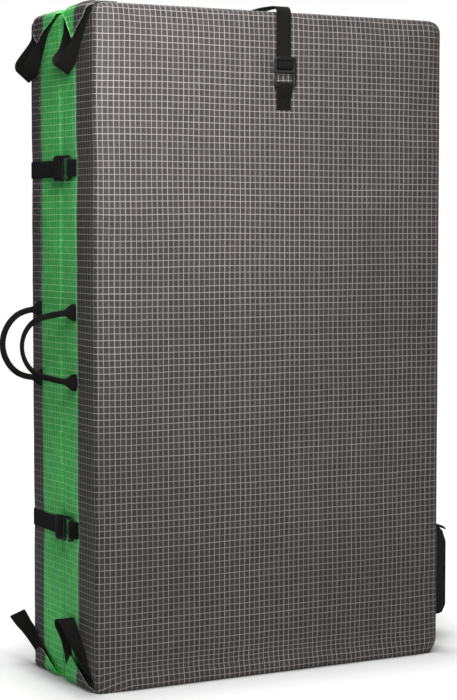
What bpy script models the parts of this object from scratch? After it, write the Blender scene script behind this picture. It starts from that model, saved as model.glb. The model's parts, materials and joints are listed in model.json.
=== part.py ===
"""Bouldering crash pad, folded shut and standing on one end.

Two foam-filled fabric halves joined by a fabric hinge along the right-hand
edge. X runs along the width, Y through the thickness (the face with the top
buckle looks towards -Y), Z is up. Metres.
"""
import math
import bmesh
import bpy
from mathutils import Matrix, Vector

# ---- driving dimensions -------------------------------------------------
HEIGHT = 1.000          # along Z
WIDTH = 0.590           # along X
THICK = 0.236           # both halves, shut
SEAM_FRONT = -0.054     # grey/green seam of the front half
SEAM_BACK = 0.075       # grey/green seam of the back half
FACE_GAP = 0.003        # between the two landing faces
WALL = 0.0012           # cover fabric with its coating
GAP = 0.0003            # clearance between neighbouring pieces
EDGE_R = 0.018          # rounded outer edges
FOAM_SHEET = 0.012      # closed-cell sheets
WEB = 0.0254            # webbing width
WEB_T = 0.0014          # webbing thickness
HINGE_X = WIDTH / 2 + 0.004   # fold axis
Z_UPPER, Z_LOWER = 0.764, 0.228   # side straps
TOP_X = 0.012           # top strap
HANDLE_Z = 0.500        # middle of the carry handles
HANDLE_SPAN = 0.104     # between the two ends of a handle
HANDLE_REACH = 0.068    # how far a handle stands out

LEFT = -WIDTH / 2
RIGHT = WIDTH / 2
FRONT = -THICK / 2
BACK = THICK / 2

# ---- clear the scene ----------------------------------------------------
for old in list(bpy.data.objects):
    bpy.data.objects.remove(old, do_unlink=True)

# ---- materials ----------------------------------------------------------
PALETTE = {
    "grey_ripstop": ((0.085, 0.078, 0.075), 0.75, 0.0),
    "green_ripstop": ((0.040, 0.330, 0.075), 0.70, 0.0),
    "black_webbing": ((0.012, 0.012, 0.013), 0.80, 0.0),
    "black_plastic": ((0.016, 0.016, 0.017), 0.45, 0.0),
    "black_padding": ((0.014, 0.015, 0.019), 0.70, 0.0),
    "closed_foam": ((0.050, 0.050, 0.055), 0.90, 0.0),
    "open_foam": ((0.720, 0.640, 0.380), 0.95, 0.0),
    "zip_metal": ((0.120, 0.120, 0.125), 0.35, 1.0),
}


def material(kind, name):
    colour, rough, metal = PALETTE[kind]
    mat = bpy.data.materials.new(name + "_" + kind)
    mat.use_nodes = True
    mat.diffuse_color = (*colour, 1.0)
    shader = mat.node_tree.nodes["Principled BSDF"]
    shader.inputs["Base Color"].default_value = (*colour, 1.0)
    shader.inputs["Roughness"].default_value = rough
    shader.inputs["Metallic"].default_value = metal
    return mat


# ---- joints as empties --------------------------------------------------
def empty(name, at=(0, 0, 0), parent=None):
    e = bpy.data.objects.new(name, None)
    e.empty_display_size = 0.03
    bpy.context.scene.collection.objects.link(e)
    e["axis_at"] = list(at)
    if parent:
        e.parent = parent
        e.location = Vector(at) - Vector(parent["axis_at"][:])
    else:
        e.location = at
    return e


def link(name, bm, kind, body, smooth=False):
    mesh = bpy.data.meshes.new(name)
    bmesh.ops.recalc_face_normals(bm, faces=bm.faces)
    bm.to_mesh(mesh)
    bm.free()
    obj = bpy.data.objects.new(name, mesh)
    bpy.context.scene.collection.objects.link(obj)
    obj.parent = body
    obj.location = -Vector(body["axis_at"][:])
    if kind:
        mesh.materials.append(material(kind, name))
    else:
        obj.hide_render = True
        obj.display_type = "WIRE"
    if smooth:
        mesh.shade_smooth()
        mesh.set_sharp_from_angle(angle=math.radians(40))
    return obj


# ---- shapes -------------------------------------------------------------
def box_bm(lo, hi, radius=0.0, segments=3, flat_y=None):
    """Box with rounded edges, except the edges that lie in the plane y = flat_y."""
    bm = bmesh.new()
    bmesh.ops.create_cube(bm, size=1.0)
    for v in bm.verts:
        v.co = Vector([lo[i] + (v.co[i] + 0.5) * (hi[i] - lo[i]) for i in range(3)])
    if radius:
        edges = [
            e for e in bm.edges
            if flat_y is None or not all(abs(v.co.y - flat_y) < 1e-6 for v in e.verts)
        ]
        bmesh.ops.bevel(bm, geom=edges, offset=radius, segments=segments, profile=0.5, affect="EDGES")
    return bm


def rounded_box(name, lo, hi, kind, body, radius=0.0, segments=3, flat_y=None):
    return link(name, box_bm(lo, hi, radius, segments, flat_y), kind, body, smooth=radius > 0)


def cut(obj, lo, hi, radius=0.0, segments=3, flat_y=None, body=None):
    tool = link(obj.name + "_cutter", box_bm(lo, hi, radius, segments, flat_y), None, body)
    mod = obj.modifiers.new("hollow", "BOOLEAN")
    mod.operation = "DIFFERENCE"
    mod.solver = "EXACT"
    mod.object = tool
    return tool


def prism(name, outline, axis, lo, hi, kind, body, bevel=0.0):
    """Polygon in the two other axes (in X, Y, Z order), extruded along axis from lo to hi."""
    bm = bmesh.new()
    others = [i for i in range(3) if i != axis]

    def point(p, level):
        v = [0.0, 0.0, 0.0]
        v[others[0]], v[others[1]], v[axis] = p[0], p[1], level
        return v

    low = [bm.verts.new(point(p, lo)) for p in outline]
    high = [bm.verts.new(point(p, hi)) for p in outline]
    bm.faces.new(low)
    bm.faces.new(list(reversed(high)))
    n = len(outline)
    for i in range(n):
        bm.faces.new((low[i], low[(i + 1) % n], high[(i + 1) % n], high[i]))
    bm.normal_update()
    bmesh.ops.triangulate(bm, faces=[f for f in bm.faces if len(f.verts) > 4])
    return link(name, bm, kind, body)


def smooth_path(points, per=5, closed=False):
    """Catmull-Rom curve through the points."""
    pts = [Vector(p) for p in points]
    n = len(pts)
    out = []
    spans = n if closed else n - 1
    for i in range(spans):
        if closed:
            a, b, c, d = (pts[(i + k - 1) % n] for k in range(4))
        else:
            b, c = pts[i], pts[i + 1]
            a = pts[i - 1] if i else b + (b - c)
            d = pts[i + 2] if i + 2 < n else c + (c - b)
        for k in range(per):
            t = k / per
            out.append(
                0.5 * ((2 * b) + (c - a) * t + (2 * a - 5 * b + 4 * c - d) * t * t
                       + (3 * b - 3 * c + d - a) * t * t * t)
            )
    if not closed:
        out.append(pts[-1])
    return out


def strap(name, path, axis, lo, hi, kind, body, thick=WEB_T, closed=False):
    """Flat band: a 2D path in the two other axes, given its thickness, and as wide as lo to hi along axis."""
    pts = [Vector((p[0], p[1])) for p in path]
    n = len(pts)
    one, two = [], []
    for i in range(n):
        if closed:
            a, c = pts[i - 1], pts[(i + 1) % n]
        else:
            a, c = pts[max(i - 1, 0)], pts[min(i + 1, n - 1)]
        b = pts[i]
        d1 = (b - a).normalized() if (b - a).length > 1e-9 else (c - b).normalized()
        d2 = (c - b).normalized() if (c - b).length > 1e-9 else d1
        normal = (Vector((-d1.y, d1.x)) + Vector((-d2.y, d2.x))).normalized()
        spread = max(0.5, normal.dot(Vector((-d1.y, d1.x))))
        one.append(b + normal * thick / 2 / spread)
        two.append(b - normal * thick / 2 / spread)
    bm = bmesh.new()
    others = [i for i in range(3) if i != axis]

    def ring(p, q):
        vs = []
        for u, level in ((p, lo), (p, hi), (q, hi), (q, lo)):
            v = [0.0, 0.0, 0.0]
            v[others[0]], v[others[1]], v[axis] = u.x, u.y, level
            vs.append(bm.verts.new(v))
        return vs

    rings = [ring(p, q) for p, q in zip(one, two)]
    spans = n if closed else n - 1
    for i in range(spans):
        r, s = rings[i], rings[(i + 1) % n]
        for k in range(4):
            bm.faces.new((r[k], r[(k + 1) % 4], s[(k + 1) % 4], s[k]))
    if not closed:
        bm.faces.new(rings[0])
        bm.faces.new(list(reversed(rings[-1])))
    return link(name, bm, kind, body)


def swept(name, path, sizes, width_dirs, kind, body, sides=8):
    """Rounded band along a 3D path. sizes gives (width, thickness) and width_dirs the width direction at each point."""
    bm = bmesh.new()
    rings = []
    n = len(path)
    for i, p in enumerate(path):
        t = (path[min(i + 1, n - 1)] - path[max(i - 1, 0)]).normalized()
        w = width_dirs[i] - t * width_dirs[i].dot(t)
        w.normalize()
        h = t.cross(w).normalized()
        a, b = sizes[i][0] / 2, sizes[i][1] / 2
        ring = []
        for k in range(sides):
            ang = 2 * math.pi * (k + 0.5) / sides
            c, s = math.cos(ang), math.sin(ang)
            # superellipse, flatter than a plain ellipse
            x = a * math.copysign(abs(c) ** 0.6, c)
            y = b * math.copysign(abs(s) ** 0.6, s)
            ring.append(bm.verts.new(p + w * x + h * y))
        rings.append(ring)
    for r, s in zip(rings, rings[1:]):
        for k in range(sides):
            bm.faces.new((r[k], r[(k + 1) % sides], s[(k + 1) % sides], s[k]))
    bm.faces.new(rings[0])
    bm.faces.new(list(reversed(rings[-1])))
    bm.normal_update()
    bmesh.ops.triangulate(bm, faces=[f for f in bm.faces if len(f.verts) > 4])
    return link(name, bm, kind, body, smooth=True)


# ---- bodies -------------------------------------------------------------
assembly = empty("assembly")
back = empty("back_half", (0, 0, 0), assembly)
front = empty("front_half", (HINGE_X, 0, HEIGHT / 2), back)

# ---- the two halves -----------------------------------------------------
IN_FRONT = -FACE_GAP / 2      # landing face of the front half
IN_BACK = FACE_GAP / 2


def half(side, body, outer, seam, inner):
    """One half: outer and inner cover trays that meet at the seam, three foam layers inside."""
    out = math.copysign(1.0, outer)

    def span(a, b):
        return min(a, b), max(a, b)

    y0, y1 = span(outer, seam)
    cover = rounded_box(side + "_outer_cover", (LEFT, y0, 0.0), (RIGHT, y1, HEIGHT),
                        "grey_ripstop", body, EDGE_R, 3, seam)
    c0, c1 = span(outer - out * WALL, seam - out * 0.02)
    cut(cover, (LEFT + WALL, c0, WALL), (RIGHT - WALL, c1, HEIGHT - WALL),
        EDGE_R - WALL, 3, seam - out * 0.02, body)
    seam_in = seam - out * GAP
    y0, y1 = span(seam_in, inner)
    # the landing face's own edges are only slightly rounded
    bm = box_bm((LEFT, y0, 0.0), (RIGHT, y1, HEIGHT))
    along = [e for e in bm.edges if abs(e.verts[0].co.y - e.verts[1].co.y) > 1e-6]
    bmesh.ops.bevel(bm, geom=along, offset=EDGE_R, segments=3, profile=0.5, affect="EDGES")
    lining = link(side + "_inner_cover", bm, "green_ripstop", body, smooth=True)
    c0, c1 = span(inner + out * WALL, seam_in + out * 0.02)
    bm = box_bm((LEFT + WALL, c0, WALL), (RIGHT - WALL, c1, HEIGHT - WALL))
    along = [e for e in bm.edges if abs(e.verts[0].co.y - e.verts[1].co.y) > 1e-6]
    bmesh.ops.bevel(bm, geom=along, offset=EDGE_R - WALL, segments=3, profile=0.5, affect="EDGES")
    tool = link(side + "_inner_cutter", bm, None, body)
    mod = lining.modifiers.new("hollow", "BOOLEAN")
    mod.operation, mod.solver, mod.object = "DIFFERENCE", "EXACT", tool

    inset = WALL + GAP
    layers = (
        ("base_foam", outer - out * inset, outer - out * (inset + FOAM_SHEET), "closed_foam"),
        ("core_foam", outer - out * (inset + FOAM_SHEET + GAP), inner + out * (inset + FOAM_SHEET + GAP), "open_foam"),
        ("top_foam", inner + out * (inset + FOAM_SHEET), inner + out * inset, "closed_foam"),
    )
    for label, a, b, kind in layers:
        y0, y1 = span(a, b)
        if label == "base_foam":
            # its outer edges are rounded too, to lie inside the cover's rounded edges
            pull = 0.0053
            bm = box_bm((LEFT + inset + pull, y0, inset + pull), (RIGHT - inset - pull, y1, HEIGHT - inset - pull),
                        FOAM_SHEET - 0.0005, 3, b)
        else:
            pull = 0.002
            bm = box_bm((LEFT + inset + pull, y0, inset + pull), (RIGHT - inset - pull, y1, HEIGHT - inset - pull))
            along = [e for e in bm.edges if abs(e.verts[0].co.y - e.verts[1].co.y) > 1e-6]
            bmesh.ops.bevel(bm, geom=along, offset=EDGE_R, segments=2, profile=0.5, affect="EDGES")
        link(side + "_" + label, bm, kind, body, smooth=True)


half("front", front, FRONT, SEAM_FRONT, IN_FRONT)
half("back", back, BACK, SEAM_BACK, IN_BACK)

# ---- fabric hinge: one strip on each half, meeting at the fold axis ------
for side, body, sign in (("front", front, -1), ("back", back, 1)):
    x0 = RIGHT + GAP
    path = [(x0 + 0.0006, sign * 0.030), (x0 + 0.0006, sign * 0.004), (x0 + 0.0022, sign * 0.0014)]
    strap(side + "_hinge_fabric", path, 2, 0.022, HEIGHT - 0.022, "green_ripstop", body, thick=0.0010)

# ---- foam access zips on the hinge-side wall -----------------------------
ZIP_Z0, ZIP_Z1 = 0.050, 0.950
zip_joint = {}
for side, body, y in (("front", front, -0.070), ("back", back, 0.088)):
    x0 = RIGHT + GAP
    # tape with the raised row of teeth along its middle
    outline = [
        (x0, y - 0.010), (x0 + 0.0008, y - 0.010), (x0 + 0.0008, y - 0.003), (x0 + 0.0020, y - 0.0022),
        (x0 + 0.0020, y + 0.0022), (x0 + 0.0008, y + 0.003), (x0 + 0.0008, y + 0.010), (x0, y + 0.010),
    ]
    prism(side + "_zip", outline, 2, ZIP_Z0, ZIP_Z1, "black_webbing", body)
    e = empty(side + "_zip_slider_joint", (x0 + 0.003, y, ZIP_Z0 + 0.012), body)
    zip_joint[side] = e
    sx = x0 + 0.0023
    bm = box_bm((sx, y - 0.0045, ZIP_Z0 + 0.004), (sx + 0.0022, y + 0.0045, ZIP_Z0 + 0.018), 0.0008, 1)
    link(side + "_zip_slider", bm, "zip_metal", e, smooth=True)


# ---- local frames for the straps and their buckles ------------------------
class Frame:
    """Origin, u along the strap towards the hook, v across it, w away from the wall."""

    def __init__(self, origin, u, v, w):
        self.o, self.u, self.v, self.w = Vector(origin), Vector(u), Vector(v), Vector(w)

    def at(self, u, v, w):
        return self.o + self.u * u + self.v * v + self.w * w

    def local(self, p):
        d = Vector(p) - self.o
        return d.dot(self.u), d.dot(self.w)


def band(name, pts, frame, half_width, kind, body, thick=WEB_T):
    """Flat band along a (u, w) polyline of a local frame."""
    pts = [Vector(p) for p in pts]
    n = len(pts)
    rings = []
    bm = bmesh.new()
    for i in range(n):
        a, b, c = pts[max(i - 1, 0)], pts[i], pts[min(i + 1, n - 1)]
        d1 = (b - a).normalized() if i else (c - b).normalized()
        d2 = (c - b).normalized() if i < n - 1 else d1
        n1 = Vector((-d1.y, d1.x))
        normal = (n1 + Vector((-d2.y, d2.x))).normalized()
        spread = max(0.6, normal.dot(n1))
        p, q = b + normal * thick / 2 / spread, b - normal * thick / 2 / spread
        rings.append([
            bm.verts.new(frame.at(p.x, -half_width, p.y)), bm.verts.new(frame.at(p.x, half_width, p.y)),
            bm.verts.new(frame.at(q.x, half_width, q.y)), bm.verts.new(frame.at(q.x, -half_width, q.y)),
        ])
    for r, s in zip(rings, rings[1:]):
        for k in range(4):
            bm.faces.new((r[k], r[(k + 1) % 4], s[(k + 1) % 4], s[k]))
    bm.faces.new(rings[0])
    bm.faces.new(list(reversed(rings[-1])))
    return link(name, bm, kind, body)


def plate(name, us, vs, solid, frame, half_thick, kind, body, corner=0.0):
    """Flat plate made of the solid cells of a grid, extruded to its thickness."""
    bm = bmesh.new()
    made = {}

    def vert(i, j, side):
        key = (i, j, side)
        if key not in made:
            u, v = us[i], vs[j]
            made[key] = bm.verts.new(frame.at(u, v, half_thick * side))
        return made[key]

    filled = {(i, j) for i in range(len(us) - 1) for j in range(len(vs) - 1) if solid(i, j)}
    for i, j in filled:
        for side in (-1, 1):
            bm.faces.new([vert(i, j, side), vert(i + 1, j, side), vert(i + 1, j + 1, side), vert(i, j + 1, side)])
        for (di, dj), (a, b) in (
            ((-1, 0), ((i, j), (i, j + 1))), ((1, 0), ((i + 1, j), (i + 1, j + 1))),
            ((0, -1), ((i, j), (i + 1, j))), ((0, 1), ((i, j + 1), (i + 1, j + 1))),
        ):
            if (i + di, j + dj) not in filled:
                bm.faces.new([vert(*a, -1), vert(*b, -1), vert(*b, 1), vert(*a, 1)])
    if corner:
        # blunt the four outer corners
        for i in (0, len(us) - 1):
            for j in (0, len(vs) - 1):
                for side in (-1, 1):
                    if (i, j, side) in made:
                        made[(i, j, side)].co -= frame.u * math.copysign(corner, us[i]) + frame.v * math.copysign(corner, vs[j])
    return link(name, bm, kind, body)


# ---- ladder-lock gate-hook buckle ------------------------------------------
BUCKLE_U = [-0.0220, -0.0165, -0.0125, -0.0065, -0.0025, 0.0030, 0.0095, 0.0155, 0.0215]
BUCKLE_V = [-0.0190, -0.0155, -0.0140, 0.0140, 0.0190]
BUCKLE_T = 0.0020       # half thickness


def buckle_cell(i, j):
    if i in (0, 2, 4):            # the ladder's three bars
        return True
    if i in (1, 3):               # its two slots
        return j != 2
    if i == 5:                    # the gate, open on one side
        return j == 3
    if i == 6:                    # arm, and the barb at the free end of the hook
        return j in (0, 3)
    return True                   # the hook's bar


def buckle(name, frame, body):
    return plate(name, BUCKLE_U, BUCKLE_V, buckle_cell, frame, BUCKLE_T, "black_plastic", body, corner=0.0015)


# route of the long strap through the ladder, ending in a tail that lies
# between the strap and the wall
THREAD = [
    (-0.0240, -0.0036), (-0.0165, -0.0036), (-0.0146, -0.0018), (-0.0146, 0.0010), (-0.0128, 0.0032),
    (-0.0062, 0.0032), (-0.0044, 0.0010), (-0.0044, -0.0014), (-0.0075, -0.0052), (-0.0120, -0.0062),
]
# route of the short strap round the bar of the hook
ROUND_BAR = [
    (0.0240, 0.0022), (0.0215, 0.0032), (0.0148, 0.0032), (0.0137, 0.0014), (0.0137, -0.0014),
    (0.0148, -0.0032), (0.0215, -0.0032), (0.0240, -0.0026),
]

# ---- side straps ---------------------------------------------------------
TILT = math.radians(6)
side_joint = {}
for label, z in (("upper", Z_UPPER), ("lower", Z_LOWER)):
    f = Frame((LEFT - 0.0075, -0.0150, z), (math.sin(TILT), -math.cos(TILT), 0), (0, 0, 1),
              (-math.cos(TILT), -math.sin(TILT), 0))
    pivot = (LEFT - 0.0018, 0.0960, z)
    j = empty(label + "_strap_joint", pivot, back)
    side_joint[label] = j
    start = f.local((LEFT - 0.0018, 0.0953, z))
    mid = f.local((LEFT - 0.0034, 0.0500, z))
    tail = [f.local((LEFT - 0.0017, y, z)) for y in (0.0200, 0.0400)]
    band(label + "_strap", [start, mid] + THREAD + tail, f, WEB / 2, "black_webbing", j)
    buckle(label + "_strap_buckle", f, j)
    ends = [f.local((LEFT - w, -0.0530, z)) for w in (0.0027, 0.0010)]
    band(label + "_strap_anchor", [ends[0]] + ROUND_BAR + [ends[1]], f, WEB / 2, "black_webbing", front)
    # the sewn end of the long strap, round the rounded back edge
    bend = EDGE_R + 0.0014
    route = [(LEFT + 0.090, BACK + 0.0014)]
    route += [(LEFT + EDGE_R + bend * math.cos(a), BACK - EDGE_R + bend * math.sin(a))
              for a in (math.pi / 2 * (1 + k / 6) for k in range(7))]
    route.append((LEFT - 0.0016, BACK - EDGE_R - 0.0020))
    strap(label + "_strap_base", route, 2, z - WEB / 2, z + WEB / 2, "black_webbing", back)

# ---- top strap -------------------------------------------------------------
top = Frame((TOP_X, FRONT - 0.0080, 0.9100), (0, 0, -1), (1, 0, 0), (0, -1, 0))
up = [top.local((TOP_X, FRONT - 0.0018, 0.9752)), top.local((TOP_X, FRONT - 0.0026, 0.9550))]
tail = [top.local((TOP_X, FRONT - 0.0012, z)) for z in (0.9330, 0.9440)]
band("top_strap_front", up + THREAD + tail, top, WEB / 2, "black_webbing", front)
buckle("top_strap_buckle", top, front)
ends = [top.local((TOP_X, FRONT - w, z)) for w, z in ((0.0027, 0.8800), (0.0027, 0.8520), (0.0010, 0.8520), (0.0010, 0.8800))]
band("top_strap_anchor", [ends[1], ends[0]] + ROUND_BAR + [ends[3], ends[2]], top, WEB / 2, "black_webbing", front)

TOP_PIVOT = (TOP_X, FRONT - 0.0018, 0.9765)
top_joint = empty("top_strap_joint", TOP_PIVOT, front)
over = smooth_path([
    (FRONT - 0.0018, 0.9775), (FRONT - 0.0012, 0.9880), (FRONT + 0.0060, 1.0005), (FRONT + 0.0200, 1.0062),
    (FRONT + 0.0600, 1.0080), (-0.0100, 1.0082), (0.0200, 1.0083), (0.0340, 1.0085),
], 3) + [Vector(p) for p in (
    (0.0395, 1.0087), (0.0450, 1.0087), (0.0461, 1.0074), (0.0461, 1.0040), (0.0450, 1.0027), (0.0395, 1.0027),
    (0.0320, 1.0034), (0.0200, 1.0045))]
strap("top_strap_over", over, 0, TOP_X - WEB / 2, TOP_X + WEB / 2, "black_webbing", top_joint)
hook = Frame((TOP_X, 0.0395, 1.0057), (0, 1, 0), (-1, 0, 0), (0, 0, 1))
plate("top_strap_hook", [0.0, 0.0048, 0.0085, 0.0130, 0.0185, 0.0235], [-0.0180, -0.0150, -0.0135, 0.0135, 0.0180],
      lambda i, j: {0: True, 1: j != 2, 2: True, 3: j == 3, 4: True}[i], hook, 0.0018, "black_plastic", top_joint)
strap("top_back_anchor", [
    (0.0920, 1.0030), (0.0690, 1.0066), (0.0632, 1.0087), (0.0574, 1.0087), (0.0562, 1.0072), (0.0562, 1.0042),
    (0.0574, 1.0027), (0.0632, 1.0026), (0.0690, 1.0020), (0.0920, 1.0011)], 0, TOP_X - WEB / 2, TOP_X + WEB / 2, "black_webbing", back)

# ---- carry handles ----------------------------------------------------------
HANDLE = (("front", front, SEAM_FRONT + 0.002, math.radians(48), 0.068), ("back", back, SEAM_BACK + 0.002, 0.0, 0.068))
handle_joint = {}
for side, body, y, lean, reach in HANDLE:
    root = Vector((LEFT - 0.0020, y, HANDLE_Z))
    j = empty(side + "_handle_joint", root, body)
    handle_joint[side] = j
    out = Vector((-math.cos(lean), math.sin(lean), 0))
    half_span = HANDLE_SPAN / 2
    shape = [(0.0005, half_span), (0.020, half_span - 0.001), (0.042, half_span - 0.010), (0.058, half_span - 0.026),
             (0.066, half_span - 0.045)]
    shape += [(a, -b) for a, b in reversed(shape)]
    line = smooth_path([(a * reach / 0.068, b) for a, b in shape], 3)
    path = [root + out * p.x + Vector((0, 0, p.y)) for p in line]
    n = len(path)
    sizes, dirs = [], []
    for i, p in enumerate(path):
        t = min(i, n - 1 - i) / (n - 1) * 2
        k = min(1.0, max(0.0, (t - 0.04) / 0.40))
        k = k * k * (3 - 2 * k)
        sizes.append((WEB + (0.0105 - WEB) * k, 0.0020 + (0.0090 - 0.0020) * k))
        a, b = line[max(i - 1, 0)], line[min(i + 1, n - 1)]
        d = (b - a).normalized()
        dirs.append(out * -d.y + Vector((0, 0, d.x)))
    swept(side + "_handle", path, sizes, dirs, "black_webbing", j)

# ---- corner flaps and corner loops ---------------------------------------------
loop_joint = {}
for corner, body, y_mid, apex_y, apex_z, up_down in (
    ("front_top", front, -0.052, -0.042, 0.9540, 1), ("back_top", back, 0.058, 0.074, 0.9560, 1),
    ("front_bottom", front, -0.052, -0.034, 0.0400, -1), ("back_bottom", back, 0.058, 0.080, 0.0340, -1),
):
    reach = 0.046
    edge_z = HEIGHT - EDGE_R - 0.0005 if up_down > 0 else EDGE_R + 0.0005
    x0 = LEFT - GAP
    outline = [(y_mid - reach, edge_z), (apex_y, apex_z), (y_mid + reach, edge_z)]
    prism(corner + "_flap", outline, 0, x0 - 0.0012, x0, "grey_ripstop", body)
    # the loop of webbing comes out below the flap and hangs down, or stands up from the lower one
    tip = 0.0540 if up_down > 0 else 0.0560
    far = 0.0300 if up_down > 0 else 0.0220
    start_z = apex_z - up_down * 0.0020
    j = empty(corner + "_loop_joint", (LEFT - 0.0045, apex_y, start_z), body)
    loop_joint[corner] = j
    ring = smooth_path([
        (0.0060, 0.0015), (0.0130, 0.0120), (far - 0.003, 0.0300), (far, tip - 0.010), (far - 0.006, tip),
        (0.0120, tip - 0.010), (0.0045, 0.0250), (0.0022, 0.0015),
    ], 3)
    path = [(LEFT - p.x, start_z - up_down * p.y) for p in ring]
    strap(corner + "_loop", path, 1, apex_y - WEB / 2, apex_y + WEB / 2, "black_webbing", j)

# ---- carrying harness on the back ------------------------------------------------
HX = 0.110              # shoulder straps
rounded_box("yoke_patch", (-0.165, BACK + GAP, 0.790), (0.165, BACK + 0.0016, 0.870), "black_webbing", back)
shoulder_joint = {}
for side, sign in (("left", -1), ("right", 1)):
    x = sign * HX
    j = empty(side + "_shoulder_joint", (x, BACK + 0.0080, 0.5200), back)
    shoulder_joint[side] = j
    line = smooth_path([
        (BACK + 0.0165, 0.8280), (BACK + 0.0290, 0.8050), (BACK + 0.0490, 0.7500), (BACK + 0.0600, 0.6600),
        (BACK + 0.0560, 0.5600), (BACK + 0.0440, 0.4700),
    ], 3)
    strap(side + "_shoulder_pad", line, 0, x - 0.031, x + 0.031, "black_padding", j, thick=0.0110)
    low = Frame((x, BACK + 0.0400, 0.4460), (0, -0.1, -0.995), (1, 0, 0), (0, 0.995, -0.1))
    plate(side + "_shoulder_buckle", [-0.0190, -0.0140, -0.0100, -0.0040, 0.0, 0.0060], [-0.0175, -0.0138, 0.0138, 0.0175],
          lambda i, j: i in (0, 2, 4) or j != 1, low, 0.0020, "black_plastic", j)
    band(side + "_lower_web", [
        low.local((x, BACK + 0.0050, 0.2120)), low.local((x, BACK + 0.0180, 0.3000)),
        (0.0120, -0.0036), (0.0000, -0.0036), (-0.0019, -0.0018), (-0.0019, 0.0010), (-0.0037, 0.0032),
        (-0.0103, 0.0032), (-0.0121, 0.0010), (-0.0121, -0.0018), (-0.0098, -0.0048), (-0.0060, -0.0064),
        (0.0010, -0.0072), (0.0300, -0.0080)], low, WEB / 2, "black_webbing", j)
    prism(side + "_web_anchor", [(x - 0.026, 0.1720), (x + 0.026, 0.1720), (x + 0.014, 0.2060), (x - 0.014, 0.2060)],
          1, BACK + GAP, BACK + 0.0016, "black_webbing", back)

FIN_Z0, FIN_Z1 = 0.0060, 0.1560
FIN_IN, FIN_OUT = 0.1915, 0.4860
FIN_T = 0.0120
rounded_box("lumbar_pad", (-0.183, BACK + GAP, 0.0080), (0.183, BACK + 0.0123, 0.1540), "black_padding", back, 0.004, 2)


def fin_outline(direction, origin_x):
    """Wing of the hip belt, blunt at the tip with rounded corners."""
    pts = [(0.0, FIN_Z0 + 0.004)]
    length = FIN_OUT - FIN_IN
    r = 0.030
    for k in range(6):
        a = -math.pi / 2 + math.pi / 2 * k / 5
        pts.append((length - 0.018 + 0.018 * math.cos(a), FIN_Z0 + 0.018 + 0.018 * math.sin(a)))
    for k in range(6):
        a = math.pi / 2 * k / 5
        pts.append((length - r + r * math.cos(a), FIN_Z1 - r + r * math.sin(a)))
    pts.append((0.0, FIN_Z1 - 0.004))
    return [(origin_x + direction * u, z) for u, z in pts]


RIGHT_FIN = (0.1905, BACK + 0.0070, 0.0810)
LEFT_FIN = (-0.1905, BACK + 0.0135, 0.0810)
fin_joint = {"right": empty("right_fin_joint", RIGHT_FIN, back), "left": empty("left_fin_joint", LEFT_FIN, back)}
for side, y0, origin in (("right", BACK + 0.0009, FIN_IN), ("left", BACK + 0.0147, -0.1895)):
    j = fin_joint[side]
    prism(side + "_hip_fin", fin_outline(1, origin), 1, y0, y0 + FIN_T, "black_padding", j)
    yo = y0 + FIN_T + GAP
    web_start = origin + (0.090 if side == "right" else 0.090)
    prism(side + "_belt_web", [(web_start, 0.0680), (origin + 0.270, 0.0680), (origin + 0.270, 0.0934), (web_start, 0.0934)],
          1, yo, yo + WEB_T, "black_webbing", j)
    # side-release buckle: the socket on one wing, the prongs on the other
    b0 = web_start - 0.046
    if side == "right":
        outline = [(b0, 0.0630), (b0 + 0.010, 0.0610), (b0 + 0.0455, 0.0630), (b0 + 0.0455, 0.0984), (b0 + 0.010, 0.1004), (b0, 0.0984)]
    else:
        outline = [
            (b0 + 0.0455, 0.0630), (b0 + 0.0455, 0.0984), (b0 + 0.0240, 0.0990), (b0 + 0.0100, 0.0996),
            (b0, 0.0945), (b0 + 0.0060, 0.0915), (b0 + 0.0220, 0.0905), (b0 + 0.0225, 0.0845),
            (b0 + 0.0010, 0.0830), (b0 + 0.0012, 0.0784), (b0 + 0.0225, 0.0769), (b0 + 0.0220, 0.0709),
            (b0 + 0.0060, 0.0699), (b0, 0.0669), (b0 + 0.0100, 0.0618), (b0 + 0.0240, 0.0624),
        ]
    prism(side + "_belt_buckle", outline, 1, yo, yo + 0.0080, "black_plastic", j)
prism("right_fin_tab", [(0.4560, FIN_Z1 + GAP), (0.4800, FIN_Z1 + GAP), (0.4800, FIN_Z1 + 0.0024), (0.4560, FIN_Z1 + 0.0044)], 1,
      BACK + 0.0020, BACK + 0.0100, "black_webbing", fin_joint["right"])

# ---- stand the assembly on the origin ---------------------------------------
bpy.context.view_layer.update()
low, high = Vector((1e9,) * 3), Vector((-1e9,) * 3)
for obj in bpy.context.scene.objects:
    if obj.type == "MESH" and not obj.hide_render:
        for v in obj.data.vertices:
            p = obj.matrix_world @ v.co
            for i in range(3):
                low[i], high[i] = min(low[i], p[i]), max(high[i], p[i])
assembly.location = (-(low.x + high.x) / 2, -(low.y + high.y) / 2, -low.z)
bpy.context.view_layer.update()
for obj in bpy.context.scene.objects:
    if obj.type == "EMPTY":
        print("AXIS", obj.name, [round(c, 6) for c in obj.matrix_world.translation])
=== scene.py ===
import json
import math
import bmesh
import bpy
import numpy as np
from mathutils import Matrix, Vector, noise
from mathutils.bvhtree import BVHTree

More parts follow.
